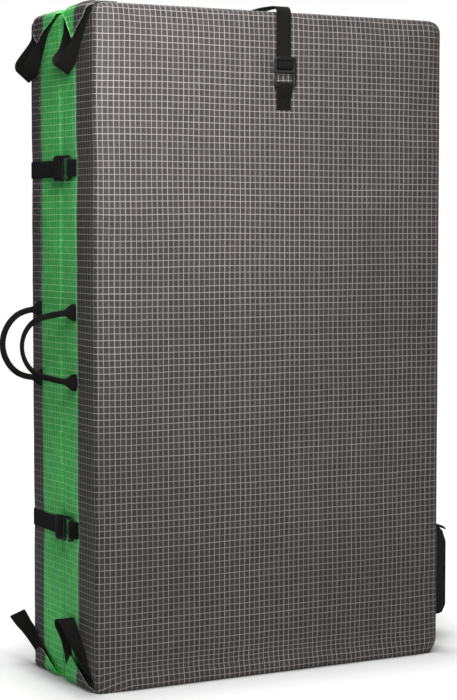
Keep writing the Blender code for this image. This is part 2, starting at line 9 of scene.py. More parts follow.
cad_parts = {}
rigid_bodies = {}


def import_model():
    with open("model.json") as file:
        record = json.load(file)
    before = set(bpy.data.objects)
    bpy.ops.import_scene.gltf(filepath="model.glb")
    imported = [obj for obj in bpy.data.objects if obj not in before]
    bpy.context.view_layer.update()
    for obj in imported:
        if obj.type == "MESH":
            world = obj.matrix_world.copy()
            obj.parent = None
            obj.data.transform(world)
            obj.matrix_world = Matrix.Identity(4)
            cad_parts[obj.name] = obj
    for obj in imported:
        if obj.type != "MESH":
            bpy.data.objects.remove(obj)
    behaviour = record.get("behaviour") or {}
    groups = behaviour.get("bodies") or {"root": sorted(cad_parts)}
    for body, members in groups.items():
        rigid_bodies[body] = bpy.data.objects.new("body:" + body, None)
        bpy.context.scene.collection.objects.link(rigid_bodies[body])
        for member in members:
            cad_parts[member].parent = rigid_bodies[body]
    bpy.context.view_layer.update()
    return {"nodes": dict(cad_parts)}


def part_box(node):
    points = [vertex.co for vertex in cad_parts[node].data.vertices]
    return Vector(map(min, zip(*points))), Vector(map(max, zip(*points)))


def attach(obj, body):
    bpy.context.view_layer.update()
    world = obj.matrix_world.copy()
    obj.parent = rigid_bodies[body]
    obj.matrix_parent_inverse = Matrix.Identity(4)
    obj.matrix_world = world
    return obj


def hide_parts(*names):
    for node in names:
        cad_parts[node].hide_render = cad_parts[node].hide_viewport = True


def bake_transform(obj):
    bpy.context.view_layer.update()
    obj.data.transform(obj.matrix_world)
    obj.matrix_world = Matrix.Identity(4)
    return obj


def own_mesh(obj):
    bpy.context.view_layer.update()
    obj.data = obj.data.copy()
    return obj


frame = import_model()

scene = bpy.context.scene

# The geometry below is written in the pad's own coordinates: X along the width,
# Y through the thickness, Z up, with the middle of the closed pad at x = y = 0.
cover_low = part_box("front_outer_cover")[0]
OFF = Vector((cover_low[0] + 0.295, cover_low[1] + 0.118, 0.0))

HEIGHT, LEFT, RIGHT, FRONT, BACK = 1.000, -0.295, 0.295, -0.118, 0.118
SEAM_FRONT, SEAM_BACK = -0.054, 0.075
WEB = 0.0254


# ======================================================================
# materials
# ======================================================================
class Nodes:
    """Short hand for building a node tree."""

    def __init__(self, name, rough=0.7, specular=0.3, sheen=0.0, sheen_rough=0.5, metallic=0.0, coat=0.0):
        self.mat = bpy.data.materials.new(name)
        self.mat.use_nodes = True
        self.nt = self.mat.node_tree
        self.bsdf = self.nt.nodes["Principled BSDF"]
        s = self.bsdf.inputs
        s["Roughness"].default_value = rough
        s["Specular IOR Level"].default_value = specular
        s["Metallic"].default_value = metallic
        if sheen:
            s["Sheen Weight"].default_value = sheen
            s["Sheen Roughness"].default_value = sheen_rough
        if coat:
            s["Coat Weight"].default_value = coat
            s["Coat Roughness"].default_value = 0.3

    def put(self, socket, value):
        if isinstance(value, bpy.types.NodeSocket):
            self.nt.links.new(value, socket)
        elif value is not None:
            socket.default_value = value

    def math(self, op, a, b=None, c=None, clamp=False):
        n = self.nt.nodes.new("ShaderNodeMath")
        n.operation, n.use_clamp = op, clamp
        for i, v in enumerate((a, b, c)):
            self.put(n.inputs[i], v)
        return n.outputs[0]

    def uv(self, name="weave"):
        n = self.nt.nodes.new("ShaderNodeUVMap")
        n.uv_map = name
        s = self.nt.nodes.new("ShaderNodeSeparateXYZ")
        self.nt.links.new(n.outputs[0], s.inputs[0])
        return n.outputs[0], s.outputs[0], s.outputs[1]

    def coords(self):
        return self.nt.nodes.new("ShaderNodeTexCoord").outputs["Object"]

    def noise(self, vector, scale, detail=3.0, rough=0.55, distortion=0.0):
        n = self.nt.nodes.new("ShaderNodeTexNoise")
        self.put(n.inputs["Vector"], vector)
        n.inputs["Scale"].default_value = scale
        n.inputs["Detail"].default_value = detail
        n.inputs["Roughness"].default_value = rough
        n.inputs["Distortion"].default_value = distortion
        return n.outputs[0]

    def white(self, x, y):
        v = self.nt.nodes.new("ShaderNodeCombineXYZ")
        self.put(v.inputs[0], x)
        self.put(v.inputs[1], y)
        n = self.nt.nodes.new("ShaderNodeTexWhiteNoise")
        n.noise_dimensions = "2D"
        self.nt.links.new(v.outputs[0], n.inputs[0])
        return n.outputs[0]

    def voronoi(self, vector, scale, feature="F1"):
        n = self.nt.nodes.new("ShaderNodeTexVoronoi")
        n.feature = feature
        self.put(n.inputs["Vector"], vector)
        n.inputs["Scale"].default_value = scale
        return n.outputs["Distance"]

    def range(self, v, a, b, lo=0.0, hi=1.0, smooth=True):
        n = self.nt.nodes.new("ShaderNodeMapRange")
        n.interpolation_type = "SMOOTHSTEP" if smooth else "LINEAR"
        self.put(n.inputs["Value"], v)
        for name, x in (("From Min", a), ("From Max", b), ("To Min", lo), ("To Max", hi)):
            n.inputs[name].default_value = x
        return n.outputs[0]

    def mix(self, f, a, b, kind="MIX"):
        n = self.nt.nodes.new("ShaderNodeMix")
        n.data_type, n.blend_type = "RGBA", kind
        self.put(n.inputs[0], f)
        for sock, v in ((n.inputs[6], a), (n.inputs[7], b)):
            if isinstance(v, tuple):
                v = (*v, 1.0)
            self.put(sock, v)
        return n.outputs[2]

    def scale_colour(self, colour, by):
        """Colour times a number."""
        n = self.nt.nodes.new("ShaderNodeVectorMath")
        n.operation = "SCALE"
        self.put(n.inputs[0], colour if not isinstance(colour, tuple) else colour)
        self.put(n.inputs["Scale"], by)
        return n.outputs[0]

    def colour(self, value):
        self.put(self.bsdf.inputs["Base Color"], value if not isinstance(value, tuple) else (*value, 1.0))

    def bump(self, height, distance, strength=1.0, normal=None):
        n = self.nt.nodes.new("ShaderNodeBump")
        n.inputs["Strength"].default_value = strength
        n.inputs["Distance"].default_value = distance
        self.put(n.inputs["Height"], height)
        if normal is not None:
            self.put(n.inputs["Normal"], normal)
        self.nt.links.new(n.outputs[0], self.bsdf.inputs["Normal"])
        return n.outputs[0]


def ripstop(name, cell, cell_dark, line, pitch=(0.0086, 0.0096), stripe=0.50, rough=0.62, low=1.0):
    """Coated cloth with a square grid of heavier threads, three finer bands to a cell."""
    m = Nodes(name, rough=rough, specular=0.34)
    vec, u, v = m.uv()
    gu, gv = m.math("DIVIDE", u, pitch[0]), m.math("DIVIDE", v, pitch[1])

    def thread(g, p, half, soft):
        d = m.math("ABSOLUTE", m.math("SUBTRACT", m.math("FRACT", g), 0.5))
        return m.range(m.math("MULTIPLY", d, p), half + soft, half - soft)

    tu = thread(gu, pitch[0], 0.00054, 0.00024)
    tv = thread(gv, pitch[1], 0.00052, 0.00024)
    iu = m.math("FLOOR", m.math("ADD", gu, 0.5))
    iv = m.math("FLOOR", m.math("ADD", gv, 0.5))
    cell_rand = m.white(iu, iv)
    line_rand_u = m.white(m.math("FLOOR", gu), 3.0)
    line_rand_v = m.white(5.0, m.math("FLOOR", gv))
    # fine bands inside each cell
    sub = m.math("ABSOLUTE", m.math("SUBTRACT", m.math("FRACT", m.math("MULTIPLY", gu, 3.0)), 0.5))
    sub = m.range(sub, 0.30, 0.44)
    sub_v = m.math("ABSOLUTE", m.math("SUBTRACT", m.math("FRACT", m.math("MULTIPLY", gv, 3.0)), 0.5))
    sub_v = m.range(sub_v, 0.36, 0.48)
    yarn = m.math("MULTIPLY",
                  m.math("SINE", m.math("MULTIPLY", u, 2 * math.pi / 0.00062)),
                  m.math("SINE", m.math("MULTIPLY", v, 2 * math.pi / 0.00062)))
    wide = m.noise(vec, 5.0, 4.0, 0.6)
    cloud = m.noise(vec, 38.0, 3.0, 0.6)
    base = m.mix(m.range(cell_rand, 0.0, 1.0, 0.0, 0.45, smooth=False), cell, cell_dark)
    base = m.mix(m.math("MULTIPLY", sub, stripe), base, cell_dark)
    base = m.mix(m.math("MULTIPLY", sub_v, stripe * 0.5), base, cell_dark)
    # painted bounce light from the floor: with low above 1, the base colour grows lighter towards the bottom of the
    # cloth
    if low != 1.0:
        base = m.scale_colour(base, m.range(v, 0.16, 0.46, low, 1.0))
    strength_u = m.math("MULTIPLY", tu, m.range(line_rand_u, 0.0, 1.0, 0.62, 0.95, smooth=False))
    strength_v = m.math("MULTIPLY", tv, m.range(line_rand_v, 0.0, 1.0, 0.58, 0.92, smooth=False))
    both = m.math("MULTIPLY", tu, tv)
    amount = m.math("ADD", m.math("MAXIMUM", strength_u, strength_v), m.math("MULTIPLY", both, 0.22), clamp=True)
    col = m.mix(amount, base, line)
    # dust and handling: slightly lighter and darker patches
    shade = m.math("ADD", m.range(wide, 0.25, 0.75, 0.90, 1.10), m.range(cloud, 0.2, 0.8, -0.05, 0.05))
    shade = m.math("ADD", shade, m.math("MULTIPLY", yarn, 0.05))
    # the foot of the front face turns under in its own shade
    under = m.math("MULTIPLY", m.range(v, -0.0155, -0.0095, 0.7, 0.0), m.range(u, 1.0, 1.1))
    shade = m.math("MULTIPLY", shade, m.math("SUBTRACT", 1.0, under))
    m.colour(m.scale_colour(col, shade))
    height = m.math("ADD", m.math("MULTIPLY", m.math("MAXIMUM", tu, tv), 0.7), m.math("MULTIPLY", yarn, 0.12))
    height = m.math("ADD", height, m.math("MULTIPLY", cloud, 0.6))
    m.bump(height, 0.00028, 0.8)
    return m.mat


def webbing(name, colour=(0.0020, 0.0019, 0.0018), light=(0.0262, 0.0246, 0.0232), rib=0.0026, rough=0.78, width=WEB):
    """Flat woven webbing: slanting ribs, two warp bands and a tighter selvedge."""
    m = Nodes(name, rough=rough, specular=0.12, sheen=0.03)
    vec, u, v = m.uv()
    across = m.math("DIVIDE", u, width)
    # ribs slant one way, then the other, like a herringbone twill
    side = m.math("ABSOLUTE", m.math("SUBTRACT", across, 0.5))
    slant = m.math("MULTIPLY", u, 0.26)
    phase = m.math("MULTIPLY", m.math("ADD", v, slant), 2 * math.pi / rib)
    ribs = m.math("ADD", m.math("MULTIPLY", m.math("SINE", phase), 0.5), 0.5)
    warp = m.math("ADD", m.math("MULTIPLY", m.math("SINE", m.math("MULTIPLY", u, 2 * math.pi / 0.0011)), 0.5), 0.5)
    edge = m.range(side, 0.455, 0.485)
    fuzz = m.noise(vec, 900.0, 2.0, 0.6)
    wide = m.noise(vec, 30.0, 3.0, 0.6)
    h = m.math("ADD", m.math("MULTIPLY", ribs, 0.85), m.math("MULTIPLY", warp, 0.15))
    tone = m.math("MULTIPLY", h, m.range(wide, 0.2, 0.8, 0.45, 0.75))
    col = m.mix(tone, colour, light)
    col = m.mix(m.math("MULTIPLY", edge, 0.35), col, light)
    m.colour(col)
    m.bump(m.math("ADD", h, m.math("MULTIPLY", fuzz, 0.25)), 0.00030, 0.9)
    return m.mat


def plastic(name, colour=(0.0064, 0.0064, 0.0068), rough=0.34):
    """Moulded acetal: fine spark texture, faint flow marks, and a painted highlight that lightens the convex edges."""
    m = Nodes(name, rough=rough, specular=0.52)
    co = m.coords()
    grain = m.noise(co, 2400.0, 2.0, 0.6)
    flow = m.noise(co, 60.0, 4.0, 0.6, 0.6)
    light = tuple(min(1.0, c * 2.1 + 0.004) for c in colour)
    # painted highlight: convex edges, found by pointiness, are mixed towards a much lighter colour
    geo = m.nt.nodes.new("ShaderNodeNewGeometry").outputs["Pointiness"]
    painted_edge_highlight = m.range(geo, 0.52, 0.60, 0.0, 0.55)
    col = m.mix(m.range(flow, 0.3, 0.8, 0.0, 0.45), colour, light)
    col = m.mix(painted_edge_highlight, col, tuple(min(1.0, c * 3.0 + 0.01) for c in colour))
    m.colour(col)
    m.bump(m.math("ADD", grain, m.math("MULTIPLY", flow, 0.6)), 0.00006, 0.6)
    return m.mat


def padding(name, colour=(0.0125, 0.0142, 0.0185), light=(0.025, 0.0285, 0.037)):
    """Tight plain-weave pack cloth over foam."""
    m = Nodes(name, rough=0.70, specular=0.22, sheen=0.06)
    vec, u, v = m.uv()
    p = 0.0011
    a = m.math("SINE", m.math("MULTIPLY", u, 2 * math.pi / p))
    b = m.math("SINE", m.math("MULTIPLY", v, 2 * math.pi / p))
    weave = m.math("ADD", m.math("MULTIPLY", m.math("MULTIPLY", a, b), 0.5), 0.5)
    wide = m.noise(vec, 14.0, 4.0, 0.6)
    fuzz = m.noise(vec, 500.0, 2.0, 0.6)
    col = m.mix(m.math("MULTIPLY", weave, m.range(wide, 0.2, 0.8, 0.5, 1.0)), colour, light)
    m.colour(col)
    m.bump(m.math("ADD", weave, m.math("MULTIPLY", fuzz, 0.5)), 0.00018, 0.8)
    return m.mat


def mesh_cloth(name):
    """Open spacer mesh on the body side of the harness."""
    m = Nodes(name, rough=0.8, specular=0.2, sheen=0.08)
    vec, u, v = m.uv()
    holes = m.voronoi(vec, 330.0)
    open_ = m.range(holes, 0.24, 0.36)
    wide = m.noise(vec, 20.0, 3.0, 0.6)
    col = m.mix(open_, (0.005, 0.005, 0.006), (0.022, 0.023, 0.026))
    m.colour(m.scale_colour(col, m.range(wide, 0.2, 0.8, 0.85, 1.15)))
    m.bump(open_, 0.0005, 0.8)
    return m.mat


def foam(name, colour, dark, cells, open_cell):
    m = Nodes(name, rough=0.95, specular=0.15)
    co = m.coords()
    d = m.voronoi(co, cells)
    wide = m.noise(co, 12.0, 3.0, 0.6)
    col = m.mix(m.range(d, 0.1, 0.55, 0.0, 1.0), dark, colour)
    m.colour(m.scale_colour(col, m.range(wide, 0.2, 0.8, 0.9, 1.1)))
    m.bump(d, 0.0006 if open_cell else 0.0002, 0.8)
    return m.mat


def thread(name, colour, light):
    m = Nodes(name, rough=0.6, specular=0.3)
    co = m.coords()
    twist = m.noise(co, 1500.0, 2.0, 0.6)
    m.colour(m.mix(twist, colour, light))
    m.bump(twist, 0.00008, 0.8)
    return m.mat


def metal(name, colour=(0.10, 0.10, 0.105)):
    m = Nodes(name, rough=0.36, specular=0.5, metallic=1.0)
    co = m.coords()
    scratch = m.noise(co, 700.0, 4.0, 0.7, 0.4)
    m.colour(m.mix(scratch, colour, tuple(c * 1.9 for c in colour)))
    m.bump(scratch, 0.00003, 0.6)
    return m.mat


GREY = ripstop("grey_ripstop", (0.070, 0.0630, 0.0615), (0.030, 0.0270, 0.0265), (0.468, 0.432, 0.416), rough=0.55)
# GREEN's low=1.26 is painted bounce light from the floor, lightening the lower part of the green cloth
GREEN = ripstop("green_ripstop", (0.092, 0.780, 0.170), (0.030, 0.460, 0.072), (0.520, 1.000, 0.500), stripe=0.60, rough=0.58, low=1.26)
EDGE_GREEN = ripstop("green_edge", (0.110, 0.560, 0.150), (0.070, 0.420, 0.100), (0.400, 0.820, 0.420), stripe=0.5)
# the two hem materials are lighter copies of the cloth, a painted highlight along the flap edges
PAINTED_HIGHLIGHT_HEM_GREY = ripstop("grey_hem_painted_highlight", (0.24, 0.23, 0.22), (0.17, 0.16, 0.155), (0.55, 0.52, 0.49))
PAINTED_HIGHLIGHT_HEM_GREEN = ripstop("green_hem_painted_highlight", (0.26, 0.82, 0.26), (0.16, 0.66, 0.16), (0.50, 0.92, 0.46), stripe=0.5)
WEBBING = webbing("black_webbing")
PLASTIC = plastic("black_plastic")
PADDING = padding("black_padding")
MESH = mesh_cloth("spacer_mesh")
THREAD_DARK = thread("black_thread", (0.004, 0.004, 0.004), (0.016, 0.016, 0.016))
THREAD_GREY = thread("grey_thread", (0.16, 0.15, 0.145), (0.32, 0.30, 0.29))
FOAM_CLOSED = foam("closed_foam", (0.055, 0.055, 0.060), (0.030, 0.030, 0.034), 700.0, False)
FOAM_OPEN = foam("open_foam", (0.72, 0.63, 0.38), (0.46, 0.38, 0.20), 420.0, True)
ZIP_COIL = plastic("zip_coil", (0.020, 0.020, 0.021), 0.5)
METAL = metal("zip_metal")


# ======================================================================
# mesh helpers
# ======================================================================
def build(name, verts, faces, mats, uvs=None, mat_index=None, smooth=True, sharp=None, shift=True):
    """verts: points; uvs: one (u, v) per vertex, or a list per face corner."""
    mesh = bpy.data.meshes.new(name)
    pts = [Vector(v) + OFF if shift else Vector(v) for v in verts]
    mesh.from_pydata([tuple(p) for p in pts], [], [tuple(f) for f in faces])
    if uvs is not None:
        layer = mesh.uv_layers.new(name="weave")
        data = np.zeros(len(mesh.loops) * 2, np.float32)
        if len(uvs) == len(verts) and not isinstance(uvs[0][0], (tuple, list)):
            index = np.zeros(len(mesh.loops), np.int32)
            mesh.loops.foreach_get("vertex_index", index)
            data = np.asarray(uvs, np.float32)[index].ravel()
        else:
            data = np.array([c for face in uvs for c in face], np.float32).ravel()
        layer.data.foreach_set("uv", data)
    for m in (mats if isinstance(mats, (list, tuple)) else [mats]):
        mesh.materials.append(m)
    if mat_index is not None:
        mesh.polygons.foreach_set("material_index", np.asarray(mat_index, np.int32))
    if smooth:
        mesh.shade_smooth()
        if sharp:
            mesh.set_sharp_from_angle(angle=math.radians(sharp))
    mesh.update()
    obj = bpy.data.objects.new(name, mesh)
    scene.collection.objects.link(obj)
    return obj


def done(obj, body, replaces=()):
    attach(obj, body)
    if replaces:
        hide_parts(*replaces)
    return obj


def applied(obj):
    """Replaces the object's mesh by its evaluated one, with no modifiers left."""
    bpy.context.view_layer.update()
    graph = bpy.context.evaluated_depsgraph_get()
    mesh = bpy.data.meshes.new_from_object(obj.evaluated_get(graph), preserve_all_data_layers=True, depsgraph=graph)
    old = obj.data
    obj.modifiers.clear()
    obj.data = mesh
    bpy.data.meshes.remove(old)
    return obj


def smooth_path(points, per=6, closed=False):
    pts = [Vector(p) for p in points]
    n = len(pts)
    out = []
    for i in range(n if closed else n - 1):
        if closed:
            a, b, c, d = (pts[(i + k - 1) % n] for k in range(4))
        else:
            b, c = pts[i], pts[i + 1]
            a = pts[i - 1] if i else b + (b - c)
            d = pts[i + 2] if i + 2 < n else c + (c - b)
        for k in range(per):
            t = k / per
            out.append(0.5 * ((2 * b) + (c - a) * t + (2 * a - 5 * b + 4 * c - d) * t * t
                              + (3 * b - 3 * c + d - a) * t * t * t))
    if not closed:
        out.append(pts[-1])
    return out


def resample(points, step):
    """The same polyline with points about step apart."""
    pts = [Vector(p) for p in points]
    lengths = [0.0]
    for a, b in zip(pts, pts[1:]):
        lengths.append(lengths[-1] + (b - a).length)
    total = lengths[-1]
    n = max(1, round(total / step))
    out, k = [], 0
    for i in range(n + 1):
        s = total * i / n
        while k < len(pts) - 2 and lengths[k + 1] < s:
            k += 1
        t = (s - lengths[k]) / max(1e-9, lengths[k + 1] - lengths[k])
        out.append(pts[k].lerp(pts[k + 1], min(1.0, t)))
    return out


# half width steps and how thick the webbing is there
PROFILE = ((-1.0, 0.10), (-0.985, 0.62), (-0.94, 0.92), (-0.6, 1.0), (-0.2, 0.96), (0.2, 0.96), (0.6, 1.0),
           (0.94, 0.92), (0.985, 0.62), (1.0, 0.10))


def ribbon(name, left, right, thick, mat, v0=0.0, profile=PROFILE, cup=0.0, width=WEB):
    """Woven band between two edge curves of equal length. It has rounded selvedges and a woven UV in metres."""
    n = len(left)
    verts, uvs, faces = [], [], []
    along = v0
    mids = [(Vector(a) + Vector(b)) / 2 for a, b in zip(left, right)]
    for i in range(n):
        a, b = Vector(left[i]), Vector(right[i])
        if i:
            along += (mids[i] - mids[i - 1]).length
        t = (mids[min(i + 1, n - 1)] - mids[max(i - 1, 0)]).normalized()
        across = (b - a)
        half = across.length / 2
        across.normalize()
        nrm = t.cross(across).normalized()
        for s in (1, -1):
            for x, h in (profile if s == 1 else reversed(profile)):
                verts.append(mids[i] + across * half * x + nrm * (s * thick / 2 * h + cup * (1 - x * x)))
                uvs.append(((x + 1) / 2 * width, along))
    m = 2 * len(profile)
    for i in range(n - 1):
        for k in range(m):
            k2 = (k + 1) % m
            faces.append((i * m + k, i * m + k2, (i + 1) * m + k2, (i + 1) * m + k))
    faces.append(tuple(reversed(range(m))))
    faces.append(tuple(range((n - 1) * m, n * m)))
    obj = build(name, verts, faces, mat, uvs, sharp=55)
    bm = bmesh.new()
    bm.from_mesh(obj.data)
    bmesh.ops.recalc_face_normals(bm, faces=bm.faces)
    bm.to_mesh(obj.data)
    bm.free()
    return obj


def band(name, centre, width_dir, thick=0.0015, mat=None, width=WEB, v0=0.0, cup=0.0):
    """Woven band along a centre line. width_dir is one direction, or one for each point."""
    pts = [Vector(p) for p in centre]
    dirs = width_dir if isinstance(width_dir, list) else [Vector(width_dir)] * len(pts)
    ws = width if isinstance(width, list) else [width] * len(pts)
    left = [p - Vector(d).normalized() * w / 2 for p, d, w in zip(pts, dirs, ws)]
    right = [p + Vector(d).normalized() * w / 2 for p, d, w in zip(pts, dirs, ws)]
    return ribbon(name, left, right, thick, mat or WEBBING, v0, cup=cup)


def sweep(name, path, section, mat, closed=False, uv_scale=1.0, frames=None):
    """section(i) gives the ring of (across, out) pairs at each station; frames the (across, out) directions."""
    n = len(path)
    verts, uvs, faces = [], [], []
    along = 0.0
    for i, p in enumerate(path):
        if i:
            along += (path[i] - path[i - 1]).length
        across, out = frames[i]
        ring = section(i)
        around = 0.0
        for k, (a, b) in enumerate(ring):
            if k:
                around += math.dist(ring[k - 1], (a, b))
            verts.append(p + across * a + out * b)
            uvs.append((around * uv_scale, along * uv_scale))
    m = len(section(0))
    for i in range(n if closed else n - 1):
        j = (i + 1) % n
        for k in range(m):
            k2 = (k + 1) % m
            faces.append((i * m + k, i * m + k2, j * m + k2, j * m + k))
    if not closed:
        faces.append(tuple(reversed(range(m))))
        faces.append(tuple(range((n - 1) * m, n * m)))
    obj = build(name, verts, faces, mat, uvs, sharp=50)
    bm = bmesh.new()
    bm.from_mesh(obj.data)
    bmesh.ops.recalc_face_normals(bm, faces=bm.faces)
    bm.to_mesh(obj.data)
    bm.free()
    return obj


def frames_along(path, hint):
    out = []
    n = len(path)
    for i in range(n):
        t = (path[min(i + 1, n - 1)] - path[max(i - 1, 0)]).normalized()
        h = Vector(hint[i] if isinstance(hint, list) else hint)
        across = (h - t * h.dot(t)).normalized()
        out.append((across, t.cross(across).normalized()))
    return out


def tube(name, path, radius, mat, hint=(0.31, 0.52, 0.79), sides=8, squash=1.0):
    path = [Vector(p) for p in path]
    fr = frames_along(path, hint)
    ring = [(radius * math.cos(2 * math.pi * k / sides), radius * squash * math.sin(2 * math.pi * k / sides)) for k in range(sides)]
    return sweep(name, path, lambda i: ring, mat, frames=fr)


def stitches(name, items, mat, length=0.0030, radius=0.00036):
    """Small rounded stitches; items are (point, direction, normal)."""
    verts, faces, uvs = [], [], []
    rings = ((-1.0, 0.25), (-0.72, 0.9), (0.0, 1.1), (0.72, 0.9), (1.0, 0.25))
    sides = 6
    for p, d, n in items:
        p, d, n = Vector(p), Vector(d).normalized(), Vector(n).normalized()
        s = d.cross(n).normalized()
        base = len(verts)
        for x, r in rings:
            for k in range(sides):
                a = 2 * math.pi * k / sides
                lift = (1 - x * x) * radius * 0.7
                verts.append(p + d * (x * length / 2) + s * (math.cos(a) * r * radius) + n * (math.sin(a) * r * radius + lift))
                uvs.append((0.001 * k, x * length))
        for i in range(len(rings) - 1):
            for k in range(sides):
                k2 = (k + 1) % sides
                faces.append((base + i * sides + k, base + i * sides + k2, base + (i + 1) * sides + k2, base + (i + 1) * sides + k))
        faces.append(tuple(base + k for k in reversed(range(sides))))
        faces.append(tuple(base + (len(rings) - 1) * sides + k for k in range(sides)))
    return build(name, verts, faces, mat, uvs)


def stitch_row(points, normal, pitch=0.0042, ends=True):
    """Items for stitches() along a polyline, each with the same normal."""
    pts = [Vector(p) for p in points]
    res = resample(pts, pitch)
    out = []
    for a, b in zip(res, res[1:]):
        out.append(((a + b) / 2, b - a, normal))
    return out


def rounded(poly, radii, per=5):
    """The polygon with its corners rounded, as a list of points."""
    n = len(poly)
    out = []
    for i in range(n):
        r = radii[i] if isinstance(radii, (list, tuple)) else radii
        p = Vector(poly[i])
        a, b = Vector(poly[i - 1]) - p, Vector(poly[(i + 1) % n]) - p
        la, lb = a.length, b.length
        a.normalize(), b.normalize()
        half = math.acos(max(-1.0, min(1.0, a.dot(b)))) / 2
        cut = min(r / math.tan(half), la * 0.49, lb * 0.49)
        rr = cut * math.tan(half)
        if rr < 1e-5:
            out.append(p)
            continue
        centre = p + (a + b).normalized() * (rr / math.sin(half))
        s, e = p + a * cut - centre, p + b * cut - centre
        ang0, ang1 = math.atan2(s.y, s.x), math.atan2(e.y, e.x)
        d = (ang1 - ang0 + math.pi) % (2 * math.pi) - math.pi
        for k in range(per + 1):
            t = ang0 + d * k / per
            out.append(centre + Vector((math.cos(t), math.sin(t))) * rr)
    return out


class Frame:
    def __init__(self, origin, u, v, w):
        self.o, self.u, self.v, self.w = Vector(origin), Vector(u), Vector(v), Vector(w)

    def at(self, u, v, w):
        return self.o + self.u * u + self.v * v + self.w * w

    def local(self, p):
        d = Vector(p) - self.o
        return d.dot(self.u), d.dot(self.w)


def moulded(name, outline, holes, half, bevel, fr, bend=None, mat=None):
    """Flat moulding with rounded edges and holes, in a local frame. bend(u, v, w) moves its points."""
    curve = bpy.data.curves.new(name + "_outline", "CURVE")
    curve.dimensions, curve.fill_mode = "2D", "BOTH"
    curve.extrude, curve.bevel_depth, curve.bevel_resolution, curve.offset = half - bevel, bevel, 2, -bevel
    for poly in [outline] + list(holes):
        spline = curve.splines.new("POLY")
        spline.points.add(len(poly) - 1)
        for point, p in zip(spline.points, poly):
            point.co = (p[0], p[1], 0.0, 1.0)
        spline.use_cyclic_u = True
    temp = bpy.data.objects.new(name + "_temp", curve)
    scene.collection.objects.link(temp)
    bpy.context.view_layer.update()
    graph = bpy.context.evaluated_depsgraph_get()
    mesh = bpy.data.meshes.new_from_object(temp.evaluated_get(graph), depsgraph=graph)
    bpy.data.objects.remove(temp)
    bm = bmesh.new()
    bm.from_mesh(mesh)
    bpy.data.meshes.remove(mesh)
    bmesh.ops.remove_doubles(bm, verts=bm.verts, dist=1e-6)
    for v in bm.verts:
        u, w2, w = v.co.x, v.co.y, v.co.z
        if bend:
            u, w2, w = bend(u, w2, w)
        v.co = fr.at(u, w2, w)
    bmesh.ops.recalc_face_normals(bm, faces=bm.faces)
    bm.verts.index_update()
    verts = [v.co.copy() for v in bm.verts]
    faces = [[v.index for v in f.verts] for f in bm.faces]
    bm.free()
    uvs = [((fr.u.dot(v - fr.o)), (fr.v.dot(v - fr.o))) for v in verts]
    return build(name, verts, faces, mat or PLASTIC, uvs, sharp=35)


def joined(name, objs):
    """One object from several, keeping their materials."""
    mats, verts, faces, idx, uvs = [], [], [], [], []
    for o in objs:
        me = o.data
        base = len(verts)
        verts += [v.co.copy() for v in me.vertices]
        layer = me.uv_layers.get("weave")
        for p in me.polygons:
            faces.append([base + i for i in p.vertices])
            m = me.materials[p.material_index]
            if m not in mats:
                mats.append(m)
            idx.append(mats.index(m))
            uvs.append([tuple(layer.data[l].uv) if layer else (0.0, 0.0) for l in p.loop_indices])
    for o in objs:
        me = o.data
        bpy.data.objects.remove(o)
        bpy.data.meshes.remove(me)
    return build(name, verts, faces, mats, uvs, idx, sharp=40, shift=False)


# ======================================================================
# cloth: a foam-filled cover swells against its own fabric
# ======================================================================
def inflate(name, co, faces, pressure, cap, frames=20, slack=0.006, stiff=15.0, bend=0.6, pins=None):
    """co with the cover under pressure for a few frames, each point moved at most cap."""
    mesh = bpy.data.meshes.new(name + "_cloth")
    mesh.from_pydata([tuple(c) for c in co], [], [tuple(f) for f in faces])
    obj = bpy.data.objects.new(name + "_cloth", mesh)
    scene.collection.objects.link(obj)
    mod = obj.modifiers.new("cloth", "CLOTH")
    s = mod.settings
    s.quality = 5
    s.mass = 0.3
    s.air_damping = 4.0
    s.tension_stiffness = s.compression_stiffness = stiff
    s.shear_stiffness = stiff / 2
    s.bending_stiffness = bend
    s.use_pressure = True
    s.uniform_pressure_force = pressure
    s.effector_weights.gravity = 0.0
    s.shrink_min = -slack
    mod.collision_settings.use_collision = False
    mod.collision_settings.use_self_collision = False
    if pins is not None:
        group = obj.vertex_groups.new(name="held")
        for w in sorted(set(round(float(x), 2) for x in pins)):
            if w > 0:
                group.add([i for i, x in enumerate(pins) if round(float(x), 2) == w], w, "REPLACE")
        s.vertex_group_mass = "held"
        s.pin_stiffness = 1.0
    mod.point_cache.frame_start, mod.point_cache.frame_end = 1, frames
    scene.frame_start, scene.frame_end = 1, frames
    for f in range(1, frames + 1):
        scene.frame_set(f)
    graph = bpy.context.evaluated_depsgraph_get()
    ev = obj.evaluated_get(graph)
    out = np.empty(len(mesh.vertices) * 3)
    ev.data.vertices.foreach_get("co", out)
    out = out.reshape(-1, 3)
    scene.frame_set(1)
    bpy.data.objects.remove(obj)
    bpy.data.meshes.remove(mesh)
    start = np.asarray(co, float)
    d = out - start
    length = np.linalg.norm(d, axis=1, keepdims=True)
    cap = np.broadcast_to(np.asarray(cap, float).reshape(-1, 1), length.shape)
    scale = np.where(length > 1e-9, cap * np.tanh(length / np.maximum(cap, 1e-9)) / np.maximum(length, 1e-9), 0.0)
    return start + d * scale


def spread(a, b, fine, step, extra=()):
    """Grid positions from a to b: close together near both ends, and through the extra positions."""
    pts = [a + f for f in fine] + [b - f for f in fine]
    lo, hi = a + fine[-1], b - fine[-1]
    marks = sorted([lo, hi] + [e for e in extra if lo < e < hi])
    for p, q in zip(marks, marks[1:]):
        n = max(1, round((q - p) / step))
        pts += [p + (q - p) * k / n for k in range(n + 1)]
    pts += [e for e in extra if a < e < b]
    out = []
    for p in sorted(pts):
        if not out or p - out[-1] > 0.0008:
            out.append(p)
    out[-1] = b
    return out


# ======================================================================
# the two covers
# ======================================================================
CORNER = {(-1, 1): 0.014, (1, 1): 0.020, (-1, -1): 0.0035, (1, -1): 0.013}    # corner radii seen from the front
OUTER_R, INNER_R = 0.0076, 0.0026


